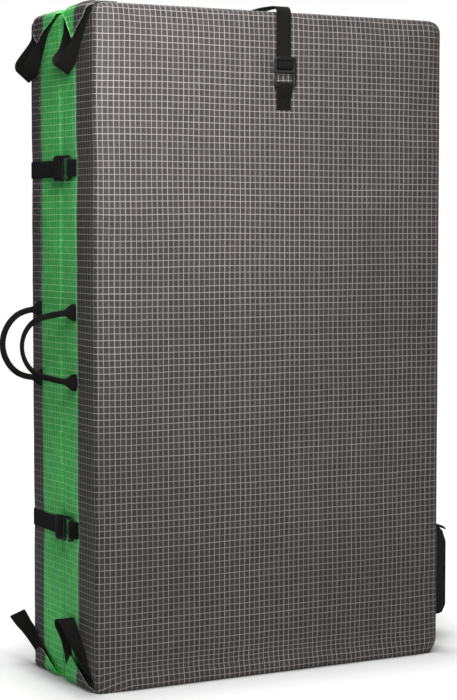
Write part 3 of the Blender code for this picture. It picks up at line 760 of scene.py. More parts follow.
def rounded_point(x, y, z, outer, inner, lo, hi, ro=OUTER_R, ri=INNER_R, corner=CORNER):
    """A point of the sharp box moved onto the box with rounded edges. outer and inner are its two faces in y."""
    cx, cz = (lo[0] + hi[0]) / 2, (lo[1] + hi[1]) / 2
    hx, hz = (hi[0] - lo[0]) / 2, (hi[1] - lo[1]) / 2
    dx, dz = x - cx, z - cz
    sx, sz = (1 if dx > 0 else -1), (1 if dz > 0 else -1)
    rc = corner[(sx, sz)]
    if corner is CORNER and outer > inner and (sx, sz) == (-1, 1):
        rc = 0.0065                              # the flap pulls the back corner into a sharp point
    qx, qz = abs(dx) - (hx - rc), abs(dz) - (hz - rc)
    if qx > 0 and qz > 0:
        m = max(qx, qz)
        length = math.hypot(qx, qz)
        qx, qz = qx * m / length, qz * m / length
        dist = m - rc
        nx, nz = sx * qx / max(m, 1e-9), sz * qz / max(m, 1e-9)
        dx, dz = sx * (hx - rc + qx), sz * (hz - rc + qz)
    elif qx > qz:
        dist, nx, nz = qx - rc, float(sx), 0.0
    else:
        dist, nx, nz = qz - rc, 0.0, float(sz)
    e = -dist                                    # distance in from the outline
    shift_e, yy = 0.0, y
    sign = 1.0 if outer < inner else -1.0
    for face, r, s in ((outer, ro, sign), (inner, ri, -sign)):
        t = (y - face) * s                       # depth below that face
        if e < r and t < r:
            ve, vt = r - e, r - t
            length = math.hypot(ve, vt)
            if length > 1e-9:
                m = max(ve, vt)
                ne, nt = r - ve * m / length, r - vt * m / length
                shift_e += ne - e
                yy = face + s * nt
    return (cx + dx - nx * shift_e, yy, cz + dz - nz * shift_e)


SHELL = {}
STRAP_Z = (0.764, 0.228)


def point_normals(co, faces):
    """Outward normal of each point of a closed grid."""
    out = np.zeros_like(co)
    for f in faces:
        a, b, c, d = (co[i] for i in f)
        n = np.cross(c - a, d - b)
        for i in f:
            out[i] += n
    out /= np.maximum(np.linalg.norm(out, axis=1, keepdims=True), 1e-12)
    middle = co.mean(0)
    if ((co - middle) * out).sum() < 0:
        out = -out
    return out


def shell(side, body, outer, seam, inner, out_bulge):
    """One half of the pad: a boxed cover, foam-filled, sewn along the seam between its two fabrics."""
    sign = 1.0 if outer < inner else -1.0
    lo, hi = (LEFT - 0.0026, 0.0003), (RIGHT + (0.0004 if sign > 0 else -0.0002), HEIGHT + 0.0002)
    y_out, y_in = outer - (0.0022 if sign > 0 else -0.0004), inner
    fine = (0.0, 0.0045, 0.0090, 0.0140, 0.0200, 0.0290)
    xs = spread(lo[0], hi[0], fine, 0.0125)
    zs = spread(lo[1], hi[1], fine, 0.0125)
    ylo, yhi = min(y_out, y_in), max(y_out, y_in)
    ys = spread(ylo, yhi, (0.0, 0.0045, 0.0090, 0.0140, 0.0190), 0.0110,
                extra=(seam - 0.006, seam - 0.0022, seam, seam + 0.0022, seam + 0.006))
    verts, index, faces, uvs, inner_face = [], {}, [], [], []

    def vert(x, y, z):
        key = (round(x, 6), round(y, 6), round(z, 6))
        if key not in index:
            index[key] = len(verts)
            verts.append((rounded_point(x, y, z, y_out, y_in, lo, hi), key))
        return index[key]

    def panel(A, B, place, uv, is_inner, flip):
        for i in range(len(A) - 1):
            for j in range(len(B) - 1):
                cs = [(A[i], B[j]), (A[i + 1], B[j]), (A[i + 1], B[j + 1]), (A[i], B[j + 1])]
                if flip:
                    cs.reverse()
                faces.append([vert(*place(a, b)) for a, b in cs])
                uvs.append([uv(a, b) for a, b in cs])
                inner_face.append(is_inner((A[i] + A[i + 1]) / 2, (B[j] + B[j + 1]) / 2))

    on_inner = (lambda y: y > seam) if sign > 0 else (lambda y: y < seam)
    depth = lambda y: abs(y - y_out)
    # the weave is never quite square once the cloth is stretched over foam
    def wave(u, v):
        a, b = Vector((u * 8.0, v * 8.0, 1.3 + sign)), Vector((u * 27.0, v * 27.0, 6.1))
        return (u + 0.0014 * noise.noise(a) + 0.0006 * noise.noise(b), v + 0.0014 * noise.noise(a + Vector((9, 4, 2))) + 0.0006 * noise.noise(b + Vector((3, 8, 1))))

    def foot(a, b):
        """How much further down the weave the sloping foot of the front face has come."""
        if sign < 0:
            return 0.0
        ends = min(1.0, max(0.0, (a - lo[0]) / 0.050))
        t = max(0.0, 0.044 - b)
        return 0.36 * ends * t * min(1.0, t / 0.014)

    # whole threads along, so that the weave can tell the front face from the rest
    front_u = 200 * 0.0086 if sign > 0 else 0.0

    panel(xs, zs, lambda a, b: (a, y_out, b), lambda a, b: tuple(c + d for c, d in zip(wave(a, b - foot(a, b)), (front_u, 0.0))), lambda a, b: False, sign < 0)
    panel(xs, zs, lambda a, b: (a, y_in, b), lambda a, b: wave(a + 0.003, b + 0.004), lambda a, b: True, sign > 0)
    panel(ys, zs, lambda a, b: (lo[0], a, b), lambda a, b: wave(lo[0] - depth(a), b), lambda a, b: on_inner(a), True)
    panel(ys, zs, lambda a, b: (hi[0], a, b), lambda a, b: wave(hi[0] + depth(a), b - foot(hi[0], b)), lambda a, b: on_inner(a), False)
    panel(xs, ys, lambda a, b: (a, b, lo[1]), lambda a, b: wave(a, lo[1] - depth(b) - foot(a, lo[1])), lambda a, b: on_inner(b), True)
    panel(xs, ys, lambda a, b: (a, b, hi[1]), lambda a, b: wave(a, hi[1] + depth(b)), lambda a, b: on_inner(b), False)

    co = np.array([v[0] for v in verts])
    sharp = np.array([v[1] for v in verts])
    # how free each point is to move: least at the bottom and on the face that lies on the other half
    cap = np.full(len(co), 0.0026)
    on_face = np.abs(sharp[:, 1] - y_out) < 1e-6
    cap[on_face] = out_bulge
    cap[np.abs(sharp[:, 1] - y_in) < 1e-6] = 0.0012
    cap[sharp[:, 2] < 0.004] = 0.0006
    seam_row = np.abs(sharp[:, 1] - seam) < 0.0004
    cap[seam_row] *= 0.55
    new = inflate(side + "_cover", co, faces, 4.0, cap, slack=0.010)
    # the foam keeps its outline: the cloth can swell off it but hardly sink into it
    pushed = new - co
    normals = point_normals(co, faces)
    along = (pushed * normals).sum(1, keepdims=True)
    sideways = pushed - along * normals
    # and the straps hold it down where they cross it
    held = np.zeros((len(co), 1))
    for i, (x, y, z) in enumerate(sharp):
        if x <= lo[0] + 1e-6:
            held[i] = max(math.exp(-((z - zz) / 0.030) ** 2) for zz in STRAP_Z)
        elif z >= hi[1] - 1e-6 or (on_face[i] and sign > 0 and z > 0.83):
            held[i] = math.exp(-((x - 0.012) / 0.034) ** 2)
        if on_face[i] and sign > 0 and z <= 0.89:
            held[i] *= max(0.0, (z - 0.83) / 0.06)
    new = co + (normals * np.where(along > 0, along, along * 0.12) + sideways * 0.35) * (1.0 - 0.9 * held)
    # broad crown of the foam, and low folds where the cloth is pulled to the corners and straps
    for i in range(len(new)):
        x, y, z = sharp[i]
        u, w = (x - LEFT) / (RIGHT - LEFT), z / HEIGHT
        p = Vector((x, y, z))
        d = Vector((0.0, 0.0, 0.0))
        if on_face[i]:
            crown = (math.sin(math.pi * min(1, max(0, u))) * math.sin(math.pi * min(1, max(0, w)))) ** 0.6
            d.y += -sign * (0.0030 if sign > 0 else 0.0005) * crown * (1.0 - 0.85 * float(held[i, 0]))
            amp = 0.0009 + 0.0012 * math.exp(-((x - 0.012) ** 2 + (z - 0.97) ** 2) / 0.012)
            d.y += -sign * amp * (noise.noise(Vector((x * 9.0, 3.1 if sign > 0 else 8.3, z * 5.0))))
            d.y += -sign * 0.0004 * noise.noise(Vector((x * 34.0, 1.7, z * 24.0)))
            ends = min(1.0, max(0.0, (x - lo[0]) / 0.050)) * min(1.0, max(0.0, (hi[0] - x) / 0.040))
            if sign > 0:
                t = min(1.0, max(0.0, (0.029 - z) / 0.023))
                d.y -= 0.0078 * ends * t * t * (3 - 2 * t)
        elif abs(y - y_in) > 1e-6:
            k = math.sin(math.pi * (y - ylo) / (yhi - ylo))
            out = Vector((0, 0, 0))
            if x <= lo[0] + 1e-6:
                out.x = -1
            elif x >= hi[0] - 1e-6:
                out.x = 1
            elif z >= hi[1] - 1e-6:
                out.z = 1
            along = z if out.x else x
            d += out * (0.0009 * k * noise.noise(Vector((along * 11.0, y * 20.0, 5.5 + sign))))
            d += out * (0.0004 * noise.noise(Vector((along * 42.0, y * 50.0, 9.5 + sign))))
            # the wall stands proud of the foam's edge, and less under the side straps
            swell = 0.0022 if out.x < 0 else 0.0008 if out.x else 0.0014
            swell *= 1.0 - float(held[i, 0])
            e = min(z - lo[1], hi[1] - z) if out.x else min(x - lo[0], hi[0] - x)
            level = 0.60 + 0.40 * k if out.x < 0 else 0.35 + 0.65 * k
            d += out * swell * level * min(1.0, max(0.0, e / 0.05)) ** 0.5
            if seam_row[i]:
                d -= out * 0.0013
            elif abs(y - seam) < 0.004:
                d -= out * 0.0004
        new[i] += np.array(d)
    # the free front edge on the hinge side fills out, and the bottom is pressed flat by the weight
    if sign > 0:
        t = np.clip((sharp[:, 0] - 0.235) / 0.06, 0, 1) * np.clip((-0.060 - sharp[:, 1]) / 0.05, 0, 1)
        t *= np.clip(sharp[:, 2] / 0.02, 0, 1)
        new[:, 0] += 0.0062 * t * t * (3 - 2 * t)
        new[:, 1] -= 0.0010 * t
    # opened out, the halves lie wall to wall, so the hinge side stays short of the fold axis
    edge = np.clip((-0.095 - sharp[:, 1]) / 0.023, 0, 1) if sign > 0 else np.zeros(len(new))
    reach = RIGHT + 0.0010 + 0.0058 * edge
    over = new[:, 0] - (reach - 0.0020)
    new[:, 0] = np.where(over > 0, reach - 0.0020 + 0.0020 * np.tanh(over / 0.0020), new[:, 0])
    # the filling is a little short in the corner above the handles, most of all at the back
    drop = np.interp(sharp[:, 1], (-0.118, -0.060, -0.003, 0.003, 0.075, 0.118), (0.0, 0.0012, 0.0050, 0.0058, 0.0066, 0.0088))
    t = np.clip((new[:, 2] - 0.88) / 0.12, 0, 1)
    new[:, 2] -= drop * np.exp(-np.maximum(0, new[:, 0] - LEFT) / 0.060) * t * t * (3 - 2 * t)
    low = new[:, 2] < 0.012
    new[low, 2] = 0.012 * (np.maximum(new[low, 2], 0.0) / 0.012) ** 1.7
    new[:, 2] = np.maximum(new[:, 2], 0.0003)
    limit = -0.0002 if sign > 0 else 0.0002
    if sign > 0:
        new[:, 1] = np.minimum(new[:, 1], limit)
    else:
        new[:, 1] = np.maximum(new[:, 1], limit)

    made = []
    pts = [Vector(p) for p in new]
    for label, want, mat in (("outer", False, GREY), ("inner", True, GREEN)):
        keep = [k for k, f in enumerate(inner_face) if f == want]
        used, fs = {}, []
        for k in keep:
            fs.append([used.setdefault(i, len(used)) for i in faces[k]])
        vs = [None] * len(used)
        for i, j in used.items():
            vs[j] = pts[i]
        obj = build(f"{side}_{label}_fabric", vs, fs, mat, [uvs[k] for k in keep])
        sub = obj.modifiers.new("smooth", "SUBSURF")
        sub.levels = sub.render_levels = 1
        sub.boundary_smooth = "PRESERVE_CORNERS"
        applied(obj)
        SHELL.setdefault(side, []).append(obj)
        made.append(obj)
    # a tree to find the surface with, in the pad's own coordinates
    verts_all, polys_all = [], []
    for obj in made:
        base = len(verts_all)
        verts_all += [v.co - OFF for v in obj.data.vertices]
        polys_all += [[base + i for i in p.vertices] for p in obj.data.polygons]
    tree = BVHTree.FromPolygons(verts_all, polys_all)
    for obj in made:
        sol = obj.modifiers.new("cloth", "SOLIDIFY")
        sol.thickness, sol.offset = 0.0012, -1.0
        applied(obj)
        obj.data.shade_smooth()
        obj.data.set_sharp_from_angle(angle=math.radians(60))
    done(made[0], body, [side + "_outer_cover"])
    done(made[1], body, [side + "_inner_cover"])
    return tree


TREE = {
    "front": shell("front", "front_half", FRONT, SEAM_FRONT, -0.0003, 0.0042),
    "back": shell("back", "back_half", BACK, SEAM_BACK, 0.0003, 0.0010),
}


def hit(side, origin, direction):
    """Where a ray meets that half's cover, and the outward normal there."""
    p, n, _, _ = TREE[side].ray_cast(Vector(origin), Vector(direction).normalized())
    if p is None:
        p, n, _, _ = TREE[side].find_nearest(Vector(origin))
    d = Vector(direction).normalized()
    return p, (n if n.dot(d) < 0 else -n)


def on_left(side, y, z, lift=0.0):
    p, n = hit(side, (LEFT - 0.08, y, z), (1, 0, 0))
    return p + Vector((-lift, 0, 0))


def on_right(side, y, z, lift=0.0):
    p, n = hit(side, (RIGHT + 0.08, y, z), (-1, 0, 0))
    return p + Vector((lift, 0, 0))


def on_front(x, z, lift=0.0):
    p, n = hit("front", (x, FRONT - 0.08, z), (0, 1, 0))
    return p + Vector((0, -lift, 0))


def on_back(x, z, lift=0.0):
    p, n = hit("back", (x, BACK + 0.08, z), (0, -1, 0))
    return p + Vector((0, lift, 0))


def on_top(side, x, y, lift=0.0):
    p, n = hit(side, (x, y, HEIGHT + 0.08), (0, 0, -1))
    return p + Vector((0, 0, lift))


# ---- foam layers inside -----------------------------------------------------
def foam_block(name, body, y0, y1, pull, mat, node, crown):
    y0, y1 = min(y0, y1), max(y0, y1)
    lo, hi = (LEFT + pull, pull), (RIGHT - pull, HEIGHT - pull)
    r = min(0.006, (y1 - y0) * 0.45)
    fine = (0.0, r, 0.022)
    xs, zs = spread(lo[0], hi[0], fine, 0.06), spread(lo[1], hi[1], fine, 0.06)
    ys = spread(y0, y1, (0.0, r), 0.03)
    verts, index, faces = [], {}, []

    def vert(x, y, z):
        key = (round(x, 6), round(y, 6), round(z, 6))
        if key not in index:
            index[key] = len(verts)
            p = rounded_point(x, y, z, y0, y1, lo, hi, r, r, {k: 0.022 for k in CORNER})
            u, w = (x - lo[0]) / (hi[0] - lo[0]), (z - lo[1]) / (hi[1] - lo[1])
            c = crown * math.sin(math.pi * u) * math.sin(math.pi * w)
            mid = (y0 + y1) / 2
            verts.append((p[0], p[1] + (c if p[1] > mid else -c), p[2]))
        return index[key]

    def panel(A, B, place, flip):
        for i in range(len(A) - 1):
            for j in range(len(B) - 1):
                cs = [(A[i], B[j]), (A[i + 1], B[j]), (A[i + 1], B[j + 1]), (A[i], B[j + 1])]
                if flip:
                    cs.reverse()
                faces.append([vert(*place(a, b)) for a, b in cs])

    panel(xs, zs, lambda a, b: (a, y0, b), False)
    panel(xs, zs, lambda a, b: (a, y1, b), True)
    panel(ys, zs, lambda a, b: (lo[0], a, b), True)
    panel(ys, zs, lambda a, b: (hi[0], a, b), False)
    panel(xs, ys, lambda a, b: (a, b, lo[1]), True)
    panel(xs, ys, lambda a, b: (a, b, hi[1]), False)
    obj = build(name, verts, faces, mat, [(v[0], v[2]) for v in verts], sharp=50)
    done(obj, body, [node])


for side, body, outer, inner in (("front", "front_half", FRONT, -0.0015), ("back", "back_half", BACK, 0.0015)):
    s = 1.0 if outer < inner else -1.0
    foam_block(side + "_base_sheet", body, outer + s * 0.0060, outer + s * 0.0150, 0.0120, FOAM_CLOSED, side + "_base_foam", 0.0005)
    foam_block(side + "_core_block", body, outer + s * 0.0162, inner - s * 0.0160, 0.0080, FOAM_OPEN, side + "_core_foam", 0.0004)
    foam_block(side + "_landing_sheet", body, inner - s * 0.0148, inner - s * 0.0038, 0.0100, FOAM_CLOSED, side + "_top_foam", 0.0003)


# ======================================================================
# corner flaps: the end wall's cloth folded over the side wall
# ======================================================================
def wall_point(side, y, s, top, lift, rc):
    """Point on the cover at arc length s down (or up) the corner from the end wall, and its outward normal."""
    H = HEIGHT if top else 0.0
    k = 1.0 if top else -1.0
    arc = math.pi / 2 * rc
    if s < 0:
        base, nrm = Vector((LEFT + rc - s, y, H)), Vector((0, 0, k))
    elif s < arc:
        a = s / rc
        base = Vector((LEFT + rc - rc * math.sin(a), y, H - k * rc * (1 - math.cos(a))))
        nrm = Vector((-math.sin(a), 0, k * math.cos(a)))
    else:
        base, nrm = Vector((LEFT, y, H - k * (rc + s - arc))), Vector((-1, 0, 0))
    p, n = hit(side, base + nrm * 0.04, -nrm)
    if not top:
        p.z = max(p.z, 0.0008)
    return p + nrm * lift, nrm


def edge_fade(y, outer_y):
    """Flaps lie down again beside the meeting plane and at the outer edge."""
    return min(1.0, max(0.0, abs(y) / 0.014)) * min(1.0, max(0.0, (abs(outer_y) - 0.003 - abs(y)) / 0.016))


def flap(corner, side, body, top, outline, seam, outer_y, lift, rc):
    """outline: (y, s) points in order round the flap, from the end wall down to the tip and back."""
    # split the outline at the seam between the two fabrics, then fill each part with a fine grid
    def clip(poly, keep_low):
        out = []
        n = len(poly)
        for i in range(n):
            a, b = poly[i], poly[(i + 1) % n]
            ia, ib = (a[0] <= seam) == keep_low, (b[0] <= seam) == keep_low
            if ia:
                out.append(a)
            if ia != ib:
                t = (seam - a[0]) / (b[0] - a[0])
                out.append((seam, a[1] + (b[1] - a[1]) * t))
        return out

    def lean(y, s):
        """How far the hanging cloth swings towards the front face of the pad."""
        k = min(1.0, max(0.0, (s + 0.006) / 0.034))
        room = (abs(outer_y) - 0.005 - abs(y)) / 0.030 if outer_y < 0 else (abs(y) - 0.0035) / 0.030
        return y - (0.0125 if top else 0.0105) * k * k * (3 - 2 * k) * min(1.0, max(0.0, room))

    parts = []
    for low in (True, False):
        poly = clip(outline, low)
        if len(poly) < 3:
            continue
        green = (not low) if side == "front" else low
        # outline densified
        dense = []
        for i in range(len(poly)):
            a, b = Vector(poly[i]), Vector(poly[(i + 1) % len(poly)])
            n = max(1, round((b - a).length / 0.0035))
            dense += [a.lerp(b, k / n) for k in range(n)]
        bm = bmesh.new()
        face = bm.faces.new([bm.verts.new((p.x, p.y, 0.0)) for p in dense])
        bm.normal_update()
        bmesh.ops.triangulate(bm, faces=[face])
        # regular cuts so the sheet can follow the rounded edge
        ys = np.arange(min(p.x for p in dense), max(p.x for p in dense), 0.005)
        ss = np.arange(min(p.y for p in dense), max(p.y for p in dense), 0.004)
        for yv in ys:
            bmesh.ops.bisect_plane(bm, geom=bm.verts[:] + bm.edges[:] + bm.faces[:], plane_co=(yv, 0, 0), plane_no=(1, 0, 0))
        for sv in ss:
            bmesh.ops.bisect_plane(bm, geom=bm.verts[:] + bm.edges[:] + bm.faces[:], plane_co=(0, sv, 0), plane_no=(0, 1, 0))
        bmesh.ops.dissolve_degenerate(bm, edges=bm.edges, dist=1e-5)
        bmesh.ops.remove_doubles(bm, verts=bm.verts, dist=1e-5)
        bm.verts.index_update()
        flat = [(v.co.x, v.co.y) for v in bm.verts]
        fs = [[v.index for v in f.verts] for f in bm.faces]
        bm.free()
        verts, uvs = [], []
        for y, s in flat:
            # close to the cover at the end wall, lifted by the webbing under it further down
            k = min(1.0, max(0.0, (s + 0.004) / 0.018)) * edge_fade(y, outer_y)
            ripple = 0.0006 * noise.noise(Vector((y * 60.0, s * 60.0, 2.0 if top else 7.0)))
            p, n = wall_point(side, lean(y, s), s, top, 0.0004 + (lift - 0.0004) * k * k * (3 - 2 * k) + ripple * k, rc)
            verts.append(p)
            # same pitch as the cover, but this cloth runs on from the end wall
            uvs.append((LEFT + rc - s, (HEIGHT + abs(y - outer_y)) if top else -abs(y - outer_y)))
        parts.append((verts, fs, uvs, GREEN if green else GREY, flat, dense))
    objs = []
    for k, (verts, fs, uvs, mat, flat, dense) in enumerate(parts):
        o = build(f"{corner}_flap_part{k}", verts, fs, mat, uvs)
        sol = o.modifiers.new("cloth", "SOLIDIFY")
        sol.thickness, sol.offset = 0.0011, 1.0
        # make sure the thickness goes outwards
        me = o.data
        mean = sum((p.normal for p in me.polygons), Vector())
        if mean.x > 0:
            me.flip_normals()
        applied(o)
        if not top:
            for v in o.data.vertices:
                v.co.z = max(v.co.z, 0.0003)
        objs.append(o)
    obj = joined(f"{corner}_corner_flap", objs)
    done(obj, body, [f"{corner}_flap"])
    # turned hem along the free edges, in lighter copies of the cloth: a painted highlight
    free = outline[1:-1] if len(outline) > 3 else outline
    path, mats = [], []
    for i in range(len(free) - 1):
        a, b = Vector(free[i]), Vector(free[i + 1])
        n = max(2, round((b - a).length / 0.003))
        path += [a.lerp(b, t / n) for t in range(n)]
    path.append(Vector(free[-1]))
    groups = []
    if not top:
        path = [p for p in path if p.y > 0.0045]
    for p in path:
        green = (p.x > seam) if side == "front" else (p.x <= seam)
        k = min(1.0, max(0.0, (p.y + 0.004) / 0.018)) * edge_fade(p.x, outer_y)
        q, n = wall_point(side, lean(p.x, p.y), p.y, top, 0.0010 + (lift + 0.0002) * k * k * (3 - 2 * k), rc)
        if groups and groups[-1][0] == green:
            groups[-1][1].append(q)
        else:
            if groups:
                groups[-1][1].append(q)
            groups.append((green, [q]))
    hems = [tube(f"{corner}_hem{i}", g[1], 0.00078 if top else 0.00062, PAINTED_HIGHLIGHT_HEM_GREEN if g[0] else PAINTED_HIGHLIGHT_HEM_GREY, sides=6)
            for i, g in enumerate(groups) if len(g[1]) > 2]
    if hems:
        hem = joined(f"{corner}_flap_hem", hems)
        done(hem, body)
    return obj


def polygon_area(poly):
    return abs(sum(a[0] * b[1] - b[0] * a[1] for a, b in zip(poly, poly[1:] + poly[:1]))) / 2


TOP_RC, LOW_RC = 0.014, 0.0035
TOP_ARC, LOW_ARC = math.pi / 2 * TOP_RC, math.pi / 2 * LOW_RC


def s_top(z):
    """Arc length from the top wall down to the height z."""
    d = HEIGHT - z
    return TOP_RC * math.acos(max(-1.0, min(1.0, 1 - d / TOP_RC))) if d < TOP_RC else TOP_ARC + d - TOP_RC


def s_low(z):
    return LOW_RC * math.acos(max(-1.0, min(1.0, 1 - z / LOW_RC))) if z < LOW_RC else LOW_ARC + z - LOW_RC


FLAPS = {
    "front_top": ("front", "front_half", True, [
        (-0.0035, -0.022), (-0.0035, s_top(0.9940)), (-0.0250, s_top(0.9800)), (-0.0462, s_top(0.9535)), (-0.0490, s_top(0.9532)),
        (-0.0600, s_top(0.9625)), (-0.0900, s_top(0.9830)), (-0.1120, s_top(0.9950)), (-0.1120, -0.022)], SEAM_FRONT, FRONT, 0.0070, TOP_RC),
    "back_top": ("back", "back_half", True, [
        (0.0035, -0.022), (0.0035, s_top(0.9935)), (0.0330, s_top(0.9830)), (0.0615, s_top(0.9711)), (0.0840, s_top(0.9555)), (0.0872, s_top(0.9553)),
        (0.1000, s_top(0.9690)), (0.1140, s_top(0.9850)), (0.1140, -0.022)], 0.0630, BACK, 0.0054, TOP_RC),
    "front_bottom": ("front", "front_half", False, [
        (-0.0035, 0.0034), (-0.0035, s_low(0.0100)), (-0.0170, s_low(0.0260)), (-0.0300, s_low(0.0390)), (-0.0330, s_low(0.0392)),
        (-0.0480, s_low(0.0305)), (-0.0800, s_low(0.0150)), (-0.1110, s_low(0.0040)), (-0.1110, 0.0034)], SEAM_FRONT, FRONT, 0.0056, LOW_RC),
    "back_bottom": ("back", "back_half", False, [
        (0.0160, 0.0034), (0.0180, s_low(0.0045)), (0.0380, s_low(0.0130)), (0.0640, s_low(0.0235)), (0.0720, s_low(0.0285)), (0.0880, s_low(0.0290)),
        (0.1030, s_low(0.0225)), (0.1125, s_low(0.0120)), (0.1135, s_low(0.0040)), (0.1120, 0.0034)], 0.0640, BACK, 0.0056, LOW_RC),
}
for corner, (side, body, top, outline, seam, outer_y, lift, rc) in FLAPS.items():
    obj = flap(corner, side, body, top, outline, seam, outer_y, lift, rc)
    area = polygon_area(outline)
    w = max(p[0] for p in outline) - min(p[0] for p in outline)
    h = max(p[1] for p in outline) - min(p[1] for p in outline)


# ======================================================================
# corner loops: webbing twisted so that its bend stands off the wall
# ======================================================================
def loop(name, stations, node, blend_z, bend_per=7):
    e1 = resample_pair([s[0] for s in stations], [s[1] for s in stations], bend_per)
    left, right = e1
    obj = ribbon(name, left, right, 0.0015, WEBBING)
    top = blend_z[0] > blend_z[1]
    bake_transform(obj)
    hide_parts(node)
    return obj


def resample_pair(a, b, per):
    return smooth_path(a, per), smooth_path(b, per)


L = LEFT


def tucked(side, y, z, lift, top=True):
    """A point just off the cover at a left-hand corner; z over 1 runs on along the top wall."""
    arc = (s_top(z) if z <= HEIGHT else HEIGHT - z) if top else s_low(z)
    return tuple(wall_point(side, y, arc, top, lift, TOP_RC if top else LOW_RC)[0])


loop("front_top_webbing_loop", [
    (tucked("front", -0.0190, 0.9860, 0.0016), tucked("front", -0.0430, 0.9840, 0.0016)),
    (tucked("front", -0.0175, 0.9740, 0.0018), tucked("front", -0.0425, 0.9700, 0.0016)),
    (tucked("front", -0.0172, 0.9600, 0.0030), tucked("front", -0.0420, 0.9550, 0.0018)),
    ((L - 0.0150, -0.0212, 0.9400), (L - 0.0034, -0.0410, 0.9350)),
    ((L - 0.0262, -0.0235, 0.9260), (L - 0.0085, -0.0380, 0.9105)),
    ((L - 0.0289, -0.0300, 0.9160), (L - 0.0110, -0.0440, 0.8995)),
    ((L - 0.0262, -0.0400, 0.9195), (L - 0.0105, -0.0560, 0.9060)),
    ((L - 0.0204, -0.0480, 0.9285), (L - 0.0080, -0.0678, 0.9190)),
    ((L - 0.0100, -0.0650, 0.9585), (L - 0.0056, -0.0775, 0.9440)),
    (tucked("front", -0.0810, 0.9820, 0.0030), tucked("front", -0.0985, 0.9700, 0.0024)),
    (tucked("front", -0.0920, 0.9950, 0.0020), tucked("front", -0.1085, 0.9840, 0.0018)),
    (tucked("front", -0.1000, 1.0010, 0.0014), tucked("front", -0.1130, 0.9960, 0.0014)),
], "front_top_loop", (0.990, 0.955))
loop("back_top_webbing_loop", [
    (tucked("back", 0.0990, 0.9840, 0.0014), tucked("back", 0.0780, 0.9860, 0.0014)),
    (tucked("back", 0.1030, 0.9720, 0.0016), tucked("back", 0.0810, 0.9730, 0.0016)),
    (tucked("back", 0.1080, 0.9590, 0.0034), tucked("back", 0.0860, 0.9560, 0.0018)),
    ((L - 0.0235, 0.1200, 0.9320), (L - 0.0080, 0.1010, 0.9200)),
    ((L - 0.0265, 0.1215, 0.9215), (L - 0.0105, 0.1090, 0.9050)),
    ((L - 0.0262, 0.1160, 0.9150), (L - 0.0110, 0.1040, 0.8975)),
    ((L - 0.0262, 0.1030, 0.9170), (L - 0.0105, 0.0910, 0.9010)),
    ((L - 0.0245, 0.0860, 0.9270), (L - 0.0080, 0.0749, 0.9089)),
    ((L - 0.0120, 0.0745, 0.9555), (L - 0.0056, 0.0607, 0.9390)),
    (tucked("back", 0.0590, 0.9760, 0.0026), tucked("back", 0.0420, 0.9620, 0.0026)),
    (tucked("back", 0.0440, 0.9900, 0.0016), tucked("back", 0.0260, 0.9780, 0.0018)),
    (tucked("back", 0.0300, 0.9985, 0.0010), tucked("back", 0.0100, 0.9890, 0.0014)),
], "back_top_loop", (0.990, 0.955))
loop("front_bottom_webbing_loop", [
    (tucked("front", -0.0130, 0.0150, 0.0014, False), tucked("front", -0.0340, 0.0180, 0.0014, False)),
    (tucked("front", -0.0080, 0.0340, 0.0022, False), tucked("front", -0.0310, 0.0370, 0.0016, False)),
    ((L - 0.0140, -0.0125, 0.0594), (L - 0.0034, -0.0280, 0.0694)),
    ((L - 0.0240, -0.0150, 0.0792), (L - 0.0050, -0.0300, 0.0877)),
    ((L - 0.0270, -0.0200, 0.0902), (L - 0.0050, -0.0355, 0.0947)),
    ((L - 0.0275, -0.0300, 0.0932), (L - 0.0050, -0.0460, 0.0927)),
    ((L - 0.0272, -0.0420, 0.0872), (L - 0.0050, -0.0570, 0.0817)),
    ((L - 0.0255, -0.0540, 0.0768), (L - 0.0050, -0.0670, 0.0688)),
    ((L - 0.0205, -0.0665, 0.0572), (L - 0.0050, -0.0830, 0.0502)),
    ((L - 0.0120, -0.0760, 0.0350), (L - 0.0050, -0.0950, 0.0290)),
    ((L - 0.0030, -0.0890, 0.0150), (L - 0.0026, -0.1080, 0.0110)),
], "front_bottom_loop", (0.010, 0.040))
loop("back_bottom_webbing_loop", [
    (tucked("back", 0.1070, 0.0090, 0.0014, False), tucked("back", 0.0880, 0.0170, 0.0014, False)),
    (tucked("back", 0.1080, 0.0220, 0.0018, False), tucked("back", 0.0910, 0.0340, 0.0018, False)),
    ((L - 0.0120, 0.1150, 0.0360), (L - 0.0044, 0.1010, 0.0500)),
    ((L - 0.0240, 0.1310, 0.0520), (L - 0.0075, 0.1180, 0.0640)),
    ((L - 0.0295, 0.1450, 0.0640), (L - 0.0100, 0.1330, 0.0750)),
    ((L - 0.0301, 0.1470, 0.0672), (L - 0.0110, 0.1355, 0.0779)),
    ((L - 0.0290, 0.1420, 0.0650), (L - 0.0105, 0.1310, 0.0765)),
    ((L - 0.0235, 0.1250, 0.0510), (L - 0.0080, 0.1120, 0.0615)),
    ((L - 0.0160, 0.1060, 0.0350), (L - 0.0062, 0.0910, 0.0440)),
    ((L - 0.0100, 0.0860, 0.0190), (L - 0.0056, 0.0690, 0.0320)),
    ((L - 0.0070, 0.0640, 0.0060), (L - 0.0056, 0.0490, 0.0200)),
    ((L - 0.0056, 0.0480, 0.0016), (L - 0.0056, 0.0330, 0.0120)),
], "back_bottom_loop", (0.010, 0.040))


